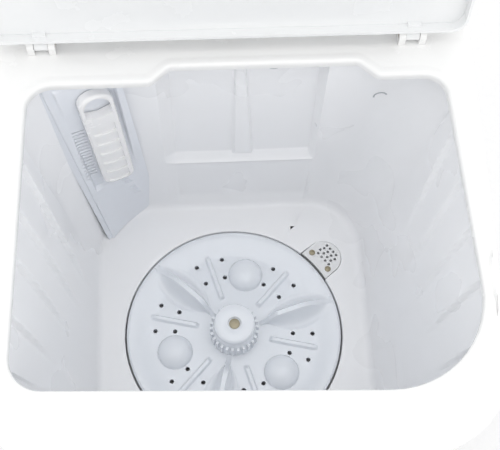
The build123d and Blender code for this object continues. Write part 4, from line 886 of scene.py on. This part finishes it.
        rim = lip(1.2, 0.0)
        rows += [rows[-1] * (1 - k) + rim * k for k in (0.15, 0.35, 0.55, 0.75, 0.9, 1.0)]
        rows += [lip(0.4, -0.25), lip(0, -0.9), lip(0, -12), lip(0, -self.well_depth)]
        floor = np.full(len(around), -self.well_depth)
        rows += [np.column_stack([ring * r, floor]) for r in self.well_floor_rings]
        points = np.array(rows) + (0, SHAFT.y, FLOOR_Z)
        bm = bmesh.new()
        add_grid(bm, points, wrap=True)
        tub = thicken(link("tub_skin", mesh_of(bm, "tub_skin")), self.wall)
        shade(tub.data, math.radians(32))
        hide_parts("wash_tub")
        dress(tub, "tub_plastic", "machine")


# ------------------------------------------------------------------ top deck

@dataclass(frozen=True)
class TopDeck:
    """The white cover with the tub's mouth and its rolled rim, in millimetres."""

    corners: tuple[tuple[float, float], ...] = (
        (-217.5, -143.5), (234.5, -162.5), (227.6, 175.5), (157, 175.5),
        (137, 194), (-64, 194), (-84, 175.5), (-211.6, 175.5))
    radii: tuple[float, ...] = (34, 97, 25, 12, 12, 12, 12, 28)
    rim: tuple[tuple[float, float], ...] = (
        (-1.5, -8.8), (-1.6, -5.0), (-1.5, -2.6), (-0.9, -0.9), (0.4, 0.2), (2.2, 0.45),
        (4.6, 0.4), (6.6, 0.2), (8.0, 0.0), (9.6, -0.15), (11.0, -0.1))
    edge_r: float = 9.0
    skirt: float = 27.8
    wall: float = 2.6

    def build(self) -> None:
        """Makes the deck as one sheet from the mouth's lip to the skirt's foot."""
        mouth = rounded(self.corners, self.radii, 14, 8) + (0, SHAFT.y)
        centre = (5.0, SHAFT.y + 5)
        rows = [np.column_stack([outward(mouth, d), np.full(len(mouth), z)]) for d, z in self.rim]
        inner = rows[-1][:, :2]
        rel = inner - centre
        angles = np.unwrap(np.arctan2(rel[:, 1], rel[:, 0]))
        turns = np.radians(np.linspace(0, 90, 9))
        first = to_angles(body_loop(self.edge_r + 0.1), angles, centre)
        for k in (0.1, 0.3, 0.5, 0.7, 0.9):
            rows.append(np.column_stack([inner * (1 - k) + first * k, np.full(len(mouth), 0.0)]))
        for t in turns:
            loop = to_angles(body_loop(self.edge_r * (1 - math.sin(t)) + 0.1), angles, centre)
            rows.append(np.column_stack([loop, np.full(len(mouth), -self.edge_r * (1 - math.cos(t)))]))
        side = rows[-1][:, :2]
        for z in (-14.0, -20.0, -26.0, -self.skirt + 0.6):
            rows.append(np.column_stack([side, np.full(len(mouth), z)]))
        points = np.array(rows) + (0, 0, DECK_Z)
        bm = bmesh.new()
        add_grid(bm, points[::-1], wrap=True)
        deck = thicken(link("deck_cover", mesh_of(bm, "deck_cover")), self.wall)
        shade(deck.data)
        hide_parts("top_deck")
        dress(deck, "deck_plastic", "machine")


# ------------------------------------------------------------------ pulsator

@dataclass(frozen=True)
class Pulsator:
    """The dished disc with its domes, ribs, vanes and drain holes, and the finned hub, in millimetres."""

    radius: float = 139.9
    base: float = -3.0
    dome_r: float = 22.4
    dome_h: float = 14.0
    dome_at: float = 81.0
    domes: tuple[float, ...] = (76.6, -43.4, -163.4)
    vanes: tuple[float, ...] = (136.6, 16.6, -103.4)
    vane_h: float = 22.0
    vane_half: float = 24.0
    band: float = 2.9
    moat: float = 2.0
    rim_rise: float = 5.0
    rim_drop: float = 1.6
    collar: float = 1.2
    collar_at: float = 43.5
    rib_h: float = 4.2
    rib_turn: float = 30.0
    fin_at: float = 29.0
    fin_mid: float = 8.0
    hole_r: float = 2.9
    hole_rings: tuple[float, ...] = (77.4, 103.1)
    hole_turns: tuple[float, ...] = (-40.0, -20.0, 20.0, 40.0)
    hub_top: float = 39.8
    fins: int = 26
    columns: int = 720

    def height(self, r: np.ndarray, turn: np.ndarray) -> np.ndarray:
        """The disc's top surface.

        Args:
            r: Distances from the shaft.
            turn: Angles in degrees.

        Returns:
            Heights above the tub's floor.
        """
        h = self.base - self.moat * (1 - smooth(36, 60, r)) + self.rim_rise * smooth(104, 137, r)
        h = h - self.rim_drop * smooth(137.5, 140, r)
        h = h + self.collar * np.exp(-((r - self.collar_at) / 2.6) ** 2)
        a = np.radians(turn)
        x, y = r * np.cos(a), r * np.sin(a)
        for at in self.domes:
            c = math.radians(at)
            d2 = (x - self.dome_at * math.cos(c)) ** 2 + (y - self.dome_at * math.sin(c)) ** 2
            dome = self.base + self.dome_h * np.sqrt(np.clip(1 - d2 / self.dome_r ** 2, 0, 1))
            h = np.maximum(h, dome)
            for side in (-self.rib_turn, self.rib_turn):
                c = math.radians(at + side)
                across = -x * math.sin(c) + y * math.cos(c)
                along = x * math.cos(c) + y * math.sin(c)
                rib = self.rib_h * (1 - smooth(1.6, 4.4, np.abs(across)))
                run = smooth(46, 52, along) * (1 - smooth(104, 114, along))
                h = np.maximum(h, self.base + rib * run)
        for at in self.vanes:
            c = math.radians(at)
            across = -x * math.sin(c) + y * math.cos(c)
            along = x * math.cos(c) + y * math.sin(c)
            share = np.clip((along - 43) / 96, 0, 1)
            half = np.maximum(self.band + 0.8, self.vane_half * np.sin(np.pi * share) ** 0.75)
            q = np.clip((np.abs(across) - self.band) / (half - self.band), 0, 1)
            crest = self.vane_h * smooth(34, 62, along) * (1 - 0.86 * smooth(92, 137, along))
            scoop = (1 - q) ** 2.3 - 0.16 * np.sin(np.pi * q) * np.sin(np.pi * share)
            leaf = (q < 1) & (along > 34)
            floor = np.maximum(h, self.base)
            h = np.where(leaf, floor + (crest + self.base - floor) * scoop, h)
        return h

    def build(self) -> None:
        """Makes the disc, drills it, and adds the hub and its fins."""
        radii = np.concatenate([np.linspace(30, 128, 88), np.linspace(129, self.radius, 14)])
        turns = np.linspace(0, 360, self.columns, endpoint=False)
        r, t = np.meshgrid(radii, turns, indexing="ij")
        a = np.radians(t)
        sheet = np.stack([r * np.cos(a), r * np.sin(a), self.height(r, t)], axis=2)
        skirt = sheet[-1:].copy()
        skirt[..., 2] = -7.5
        under = sheet.copy()[::-6]
        under[..., 2] = -8.5
        rows = np.concatenate([sheet, skirt, under, sheet[:1]]) + (0, SHAFT.y, FLOOR_Z)
        bm = bmesh.new()
        add_grid(bm, rows[::-1], wrap=True)
        disc = link("pulsator_disc", mesh_of(bm, "pulsator_disc"))
        places = []
        for at in self.domes:
            for ring in self.hole_rings:
                for turn in self.hole_turns:
                    c = math.radians(at + turn)
                    places.append((ring * math.cos(c), SHAFT.y + ring * math.sin(c), FLOOR_Z - 3))
        count = len(places)
        drills = points_mesh("pulsator_drills", places, [(0, 0, 1)] * count, [(0, 1, 0)] * count)
        DRILLS.run(drills, MATERIALS["pulsator_plastic"], Radius=self.hole_r * MM, Depth=0.03)
        cut_away(disc, drills)
        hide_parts("pulsator")
        dress(disc, "pulsator_plastic", "pulsator")
        self.build_hub()

    def build_hub(self) -> None:
        """Makes the hub's smooth cap and the fins round its skirt."""
        top = self.hub_top
        profile = [(31.0, -6.0), (30.0, 6.0), (28.0, 21.0), (26.6, 26.0), (26.2, 35.0), (26.0, top - 2.6),
                   (25.2, top - 1.0), (23.6, top - 0.1), (16.0, top), (9.6, top), (8.6, top - 0.5),
                   (8.2, top - 2.5), (7.6, top - 3.4), (2.0, top - 3.6)]
        turns = np.radians(np.linspace(0, 360, 120, endpoint=False))
        rows = [[(r * math.cos(a), SHAFT.y + r * math.sin(a), FLOOR_Z + z) for a in turns]
                for r, z in profile]
        bm = bmesh.new()
        add_grid(bm, np.array(rows), wrap=True)
        hub = link("pulsator_hub", mesh_of(bm, "pulsator_hub"))
        thicken(hub, 2.0)
        shade(hub.data)
        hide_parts("pulsator")
        dress(hub, "pulsator_plastic", "pulsator")
        ways = [(math.cos(a), math.sin(a), 0.0)
                for a in np.radians(np.linspace(0, 360, self.fins, endpoint=False))]
        at = self.fin_at
        places = [(at * x, SHAFT.y + at * y, FLOOR_Z + self.fin_mid) for x, y, _ in ways]
        fins = points_mesh("hub_fins", places, ways, [(0, 0, 1)] * self.fins)
        BARS.run(fins, MATERIALS["pulsator_plastic"], Width=3.2 * MM, Length=27 * MM, Height=5.2 * MM)
        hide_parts("pulsator")
        dress(fins, "pulsator_plastic", "pulsator")


# ------------------------------------------------------------------ filter column

FACE_UP = 195


@dataclass(frozen=True)
class FaceFrame:
    """The cassette's plane in the machine, in millimetres."""

    origin: Vector = field(default_factory=lambda: Vector((-144.5, 172.5 + SHAFT.y, FACE_UP + FLOOR_Z)))
    across: Vector = field(default_factory=lambda: Vector((0.9387, 0.3448, 0.0)).normalized())
    rise: Vector = field(default_factory=lambda: Vector((-0.0558, 0.0590, 0.9967)).normalized())

    @property
    def normal(self) -> Vector:
        """The way out of the face, into the tub."""
        return self.across.cross(self.rise).normalized()

    def at(self, x: float, up: float, out: float) -> Vector:
        """A place on the face."""
        return self.origin + self.across * x + self.rise * up + self.normal * out

    def local(self, point: Vector) -> tuple[float, float, float]:
        """A point's place across, up and out of the face."""
        rel = point - self.origin
        return rel.dot(self.across), rel.dot(self.rise), rel.dot(self.normal)


FACE = FaceFrame()


@dataclass(frozen=True)
class FilterColumn:
    """The twisted cover over the tub's rear left corner, with louvres and a recess, in millimetres."""

    foot: tuple[tuple[float, float], tuple[float, float]] = ((-163, 136), (-104, 186))
    head: tuple[tuple[float, float], tuple[float, float]] = ((-194, 176), (-111, 186))
    top: float = 330.0
    hollow: float = 5.5
    wall: float = 2.4
    recess: tuple[float, float, float, float] = (-36, 30, -79, 129)
    depth: float = 4.2
    slots: int = 16
    slot_first: float = -49.0
    slot_pitch: float = 6.3
    slot_h: float = 1.5
    slot_ends: tuple[float, float] = (-33.0, -18.0)
    fine_groups: tuple[tuple[float, float, int], ...] = ((12, -84, 6), (19, -111, 8))
    fine_step: tuple[float, float] = (0.9, -3.2)

    def place(self, u: float, v: float) -> Vector:
        """A point of the face at a share across and a share up."""
        start = -0.09 - 0.06 * v
        reach = start + min(u, 0.97) * (1 - start) / 0.97
        low = [a + (b - a) * reach for a, b in zip(*self.foot)]
        high = [a + (b - a) * reach for a, b in zip(*self.head)]
        x, y = (a + (b - a) * v for a, b in zip(low, high))
        back = self.hollow * 4 * max(0.0, reach * (1 - reach)) * (1 - v) ** 1.6
        point = Vector((x - 0.5 * back, y + 0.86 * back + SHAFT.y, FLOOR_Z + v * self.top))
        a, b, c = FACE.local(point)
        x0, x1, y0, y1 = self.recess
        slant = x0 + (b - y1) * -0.03
        inside = min(a - slant, x1 - a, b - y0, y1 - b)
        share = float(smooth(0, 2.6, inside))
        seam = -start / (1 - start) * 0.97
        edge = 2.4 * (1 - float(smooth(seam - 0.02, seam, u))) + 15 * max(0.0, (u - 0.97) / 0.03)
        return FACE.at(a, b, c + (-self.depth - c) * share - edge)

    def build(self) -> None:
        """Makes the face as a sheet, thickens it away from the tub and cuts the louvres."""
        us = np.concatenate([np.linspace(0, 0.97, 130), [0.985, 1.0]])
        slots = [(FACE_UP + self.slot_first + self.slot_pitch * k + lift) / self.top
                 for k in range(self.slots) for lift in (0.0, 0.7, self.slot_h)]
        vs = np.array(sorted({*np.linspace(0.001, 1, 200), *slots}))
        points = np.array([[self.place(u, v) for u in us] for v in vs])

        def solid(r: int, c: int) -> bool:
            """Whether the quad at a row and column lies outside every louvre."""
            across, up, _ = FACE.local(Vector(points[r:r + 2, c:c + 2].mean((0, 1))))
            level = ((vs[r] + vs[r + 1]) / 2 * self.top - FACE_UP - self.slot_first) % self.slot_pitch
            inside = self.slot_ends[0] < across < self.slot_ends[1]
            return not (inside and self.slot_first - 0.5 < up < -self.slot_first and level < self.slot_h)

        bm = bmesh.new()
        add_grid(bm, points, keep=solid)
        column = thicken(link("column_face", mesh_of(bm, "column_face")), self.wall)
        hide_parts("filter_column")
        dress(column, "column_plastic", "machine")
        small = [(x + self.fine_step[0] * k, up + self.fine_step[1] * k)
                 for x, up, count in self.fine_groups for k in range(count)]
        lips = points_mesh("small_louvres", [self.near(x, up) for x, up in small],
                           [FACE.rise] * len(small), [FACE.across] * len(small))
        BARS.run(lips, MATERIALS["column_plastic"], Width=1.6 * MM, Length=8.5 * MM, Height=1.2 * MM)
        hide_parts("filter_column")
        dress(lips, "column_plastic", "machine")

    def near(self, x: float, up: float) -> Vector:
        """The nearest point of the face to a place across and up it."""
        spots = [self.place(u, v) for u in np.linspace(0.1, 0.95, 60) for v in np.linspace(0.02, 0.9, 120)]
        return min(spots, key=lambda p: math.dist(FACE.local(p)[:2], (x, up)))


@dataclass(frozen=True)
class LintCassette:
    """The lift-out filter: a rounded frame, an arched finger opening and curved ribs, in millimetres."""

    left: float = -15.8
    right: float = 23.8
    bottom: float = -65.5
    top: float = 115.5
    back: float = -3.0
    front: float = 7.8
    round_r: float = 3.5
    ribs: int = 6
    arch_half: float = 15.0
    arch_up: float = 93.0
    arch_h: float = 18.5
    window_half: float = 13.2
    window_h: float = 15.2
    window_sag: float = 3.2
    window_depth: float = 2.2
    window_first: float = -58.0
    window_pitch: float = 20.6

    def prism(self, outline: Sequence[tuple[float, float]], low: float, high: float) -> bpy.types.Object:
        """A solid over an outline in the face's plane."""
        bm = bmesh.new()
        ends = [[bm.verts.new(FACE.at(x, y, z)) for x, y in outline] for z in (low, high)]
        bm.faces.new(list(reversed(ends[0])))
        bm.faces.new(ends[1])
        for i in range(len(outline)):
            j = (i + 1) % len(outline)
            bm.faces.new((ends[0][i], ends[0][j], ends[1][j], ends[1][i]))
        return link("cassette_cutter", mesh_of(bm, "cassette_cutter"))

    def sag(self, x: float) -> float:
        """How far a rib's curve hangs below its ends at a place across it."""
        return self.window_sag * (1 - (x / self.window_half) ** 2)

    def build(self) -> None:
        """Makes the rounded body and cuts the finger opening and the windows between ribs."""
        plan = rounded([(self.left, self.bottom), (self.right, self.bottom), (self.right, self.top),
                        (self.left, self.top)], [12, 12, 18, 18], 14, 6)
        rows = [(0.0, self.back), (0.0, self.front - self.round_r)]
        rows += [(-self.round_r * (1 - math.cos(math.radians(t))),
                  self.front - self.round_r * (1 - math.sin(math.radians(t)))) for t in range(15, 91, 15)]
        bm = bmesh.new()
        grid = np.array([[FACE.at(x, y, z) for x, y in outward(plan, d)] for d, z in rows])
        verts = add_grid(bm, grid, wrap=True)
        bm.faces.new(list(reversed(verts[0])))
        bm.faces.new(verts[-1])
        body = link("cassette_frame", mesh_of(bm, "cassette_frame"))
        middle = (self.left + self.right) / 2
        half = self.arch_half
        arch = [(middle + half * math.cos(t), self.arch_up + self.arch_h * math.sin(t))
                for t in map(math.radians, range(0, 181, 12))]
        sill = [(middle - half, 80), (middle, 76), (middle + half, 80)]
        cut_away(body, self.prism(sill + arch, -6, 12))
        for k in range(self.ribs):
            low = self.window_first + k * self.window_pitch
            xs = np.linspace(-self.window_half, self.window_half, 13)
            under = [(middle + x, low - self.sag(x)) for x in xs]
            over = [(middle + x, low + self.window_h - self.sag(x)) for x in xs[::-1]]
            cut_away(body, self.prism(under + over, self.front - self.window_depth, 12))
        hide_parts("lint_cassette")
        dress(body, "cassette_plastic", "cassette")


# ------------------------------------------------------------------ small repeated pieces

@dataclass(frozen=True)
class ScrewSet:
    """A set of cross-head screws on one CAD node. Lengths are in millimetres."""

    node: str
    places: tuple[Point, ...]
    facing: Point
    radius: float = 4.0
    height: float = 2.1
    body: str = "machine"
    finish: str = "bright_steel"

    def build(self) -> None:
        """Puts the heads on their places."""
        count = len(self.places)
        along = (1, 0, 0) if abs(self.facing[0]) < 0.9 else (0, 1, 0)
        heads = points_mesh(f"{self.node}_heads", self.places, [self.facing] * count, [along] * count)
        SCREWS.run(heads, MATERIALS[self.finish], Head_Radius=self.radius * MM, Head_Height=self.height * MM,
                   Arm=self.radius * 1.1 * MM, Arm_Width=self.radius * 0.24 * MM)
        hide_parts(self.node)
        dress(heads, self.finish, self.body)


def polar(angle: float, reach: float) -> tuple[float, float]:
    """A place in the machine at an angle and a distance from the shaft."""
    turn = math.radians(angle)
    return reach * math.cos(turn), SHAFT.y + reach * math.sin(turn)


def screw_sets() -> list[ScrewSet]:
    """Every set of screws whose heads can be seen."""
    drain = tuple((*polar(38 + s * 5.8, 154), FLOOR_Z + 0.05) for s in (-1, 1))
    rear = tuple((x, 262.2, z) for x in (-222.0, 222.0) for z in (110.0, 290.0, 470.0, 650.0))
    top = tuple((x, 247.0, 856.05) for x in (-200.0, 200.0))
    hub = ((0.0, SHAFT.y, FLOOR_Z + 36.3),)
    return [
        ScrewSet("drain_cover_screws", drain, (0, 0, 1), 4.2, 2.1, finish="aged_steel"),
        ScrewSet("rear_cover_screws", rear, (0, 1, 0), 4.0, 2.2),
        ScrewSet("console_screws", top, (0, 0, 1), 4.0, 2.1),
        ScrewSet("pulsator_screw", hub, (0, 0, 1), 7.0, 1.9, "pulsator", "aged_steel"),
    ]


@dataclass(frozen=True)
class Dial:
    """The printed ticks round a knob and the stripe on its pointer, in millimetres."""

    joint: str
    body: str
    first: float
    last: float
    ticks: int
    tick_at: float = 38.5
    tick_lift: float = 3.0
    stripe_at: float = 11.0
    stripe_lift: float = 20.4

    def build(self) -> None:
        """Puts the ticks on the fascia and the stripe on the knob."""
        centre = Vector(JOINTS[self.joint]["pos_m"]) / MM
        low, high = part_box("console_panel")
        side = Vector((1, 0, 0))
        up = Vector((0, high.y - low.y, high.z - low.z)).normalized()
        normal = side.cross(up).normalized()
        ways = [side * math.sin(a) + up * math.cos(a)
                for a in np.radians(np.linspace(self.first, self.last, self.ticks))]
        places = [centre + way * self.tick_at + normal * self.tick_lift for way in ways]
        marks = points_mesh(f"{self.body}_ticks", places, [normal] * self.ticks, ways)
        BARS.run(marks, MATERIALS["print_ink"], Width=0.9 * MM, Length=5.0 * MM, Height=0.3 * MM)
        dress(marks, "print_ink", "machine")
        place = centre + normal * self.stripe_lift + up * self.stripe_at
        stripe = points_mesh(f"{self.body}_stripe", [place], [normal], [up])
        BARS.run(stripe, MATERIALS["pointer_ink"], Width=1.8 * MM, Length=12 * MM, Height=0.5 * MM)
        dress(stripe, "pointer_ink", self.body)


DIALS = (
    Dial("timer_turn", "timer_knob", 0, 330, 16),
    Dial("selector_turn", "selector_knob", -45, 45, 3),
    Dial("drain_turn", "drain_knob", 0, 90, 2),
)


def dress_frame() -> None:
    """Gives every CAD node that is still shown the finish of its record slot."""
    slots = {part["node"]: part["material_slot"] for part in frame["record"]["subparts"]}
    own = {"drain_cover": "cover_plastic"}
    for node, piece in frame["nodes"].items():
        material = MATERIALS[own.get(node, slots[node])]
        piece.data.materials.clear()
        piece.data.materials.append(material)
    LOG.info("%d CAD nodes dressed", len(frame["nodes"]))


# ------------------------------------------------------------------ studio

@dataclass(frozen=True)
class Studio:
    """The pale floor, the soft lights and the camera."""

    eye: Point = (-0.02814, -0.38044, 1.5210)
    right: Point = (0.9982, -0.0525, 0.0277)
    up: Point = (0.0376, 0.9207, 0.3885)
    lens: float = 64.8
    floor_half: float = 9.0
    world: float = 1.16
    softbox: float = 6.0

    def build(self) -> None:
        """Makes the whole studio."""
        self._floor()
        self._world()
        self._light("softbox", (0.1, -0.1, 2.9), (0, -0.05, 0.6), 1.8, self.softbox)
        self._light("side_fill", (2.4, -1.8, 1.6), (0, 0, 0.5), 1.6, self.softbox * 0.5)
        data = bpy.data.cameras.new("camera")
        data.lens, data.sensor_width, data.clip_start = self.lens, 36.0, 0.02
        camera = bpy.data.objects.new("camera", data)
        x, y = Vector(self.right).normalized(), Vector(self.up).normalized()
        z = x.cross(y).normalized()
        y = z.cross(x)
        camera.matrix_world = Matrix.Translation(Vector(self.eye)) @ Matrix((x, y, z)).transposed().to_4x4()
        bpy.context.scene.collection.objects.link(camera)
        bpy.context.scene.camera = camera
        bpy.context.scene.view_settings.view_transform = "Standard"

    def _floor(self) -> None:
        """A wide pale floor with a faint mottle."""
        half = self.floor_half / MM
        axis = np.linspace(-half, half, 9)
        bm = bmesh.new()
        add_grid(bm, np.array([[(x, y, -0.2) for x in axis] for y in axis]))
        floor = link("studio_floor", mesh_of(bm, "studio_floor"))
        finish = Finish("studio_paper", (0.86, 0.86, 0.86), (0.83, 0.83, 0.835), 0.7, grain=60)
        floor.data.materials.append(finish.build())

    def _world(self) -> None:
        """An even pale sky."""
        world = bpy.data.worlds.new("studio")
        world.use_nodes = True
        ground = world.node_tree.nodes["Background"]
        ground.inputs["Color"].default_value = (1.0, 1.0, 1.0, 1)
        ground.inputs["Strength"].default_value = self.world
        bpy.context.scene.world = world

    def _light(self, name: str, place: Point, target: Point, size: float, power: float) -> None:
        """A large square soft light."""
        data = bpy.data.lights.new(name, "AREA")
        data.size, data.energy = size, power
        lamp = bpy.data.objects.new(name, data)
        lamp.location = place
        way = Vector(target) - Vector(place)
        lamp.rotation_euler = way.to_track_quat("-Z", "Y").to_euler()
        bpy.context.scene.collection.objects.link(lamp)


def main() -> None:
    """Builds the pieces in order."""
    logging.basicConfig(level=logging.INFO, format="%(name)s %(message)s")
    dress_frame()
    WashTub().build()
    TopDeck().build()
    Pulsator().build()
    FilterColumn().build()
    LintCassette().build()
    for screws in screw_sets():
        screws.build()
    for dial in DIALS:
        dial.build()
    Studio().build()


if __name__ == "__main__":
    main()
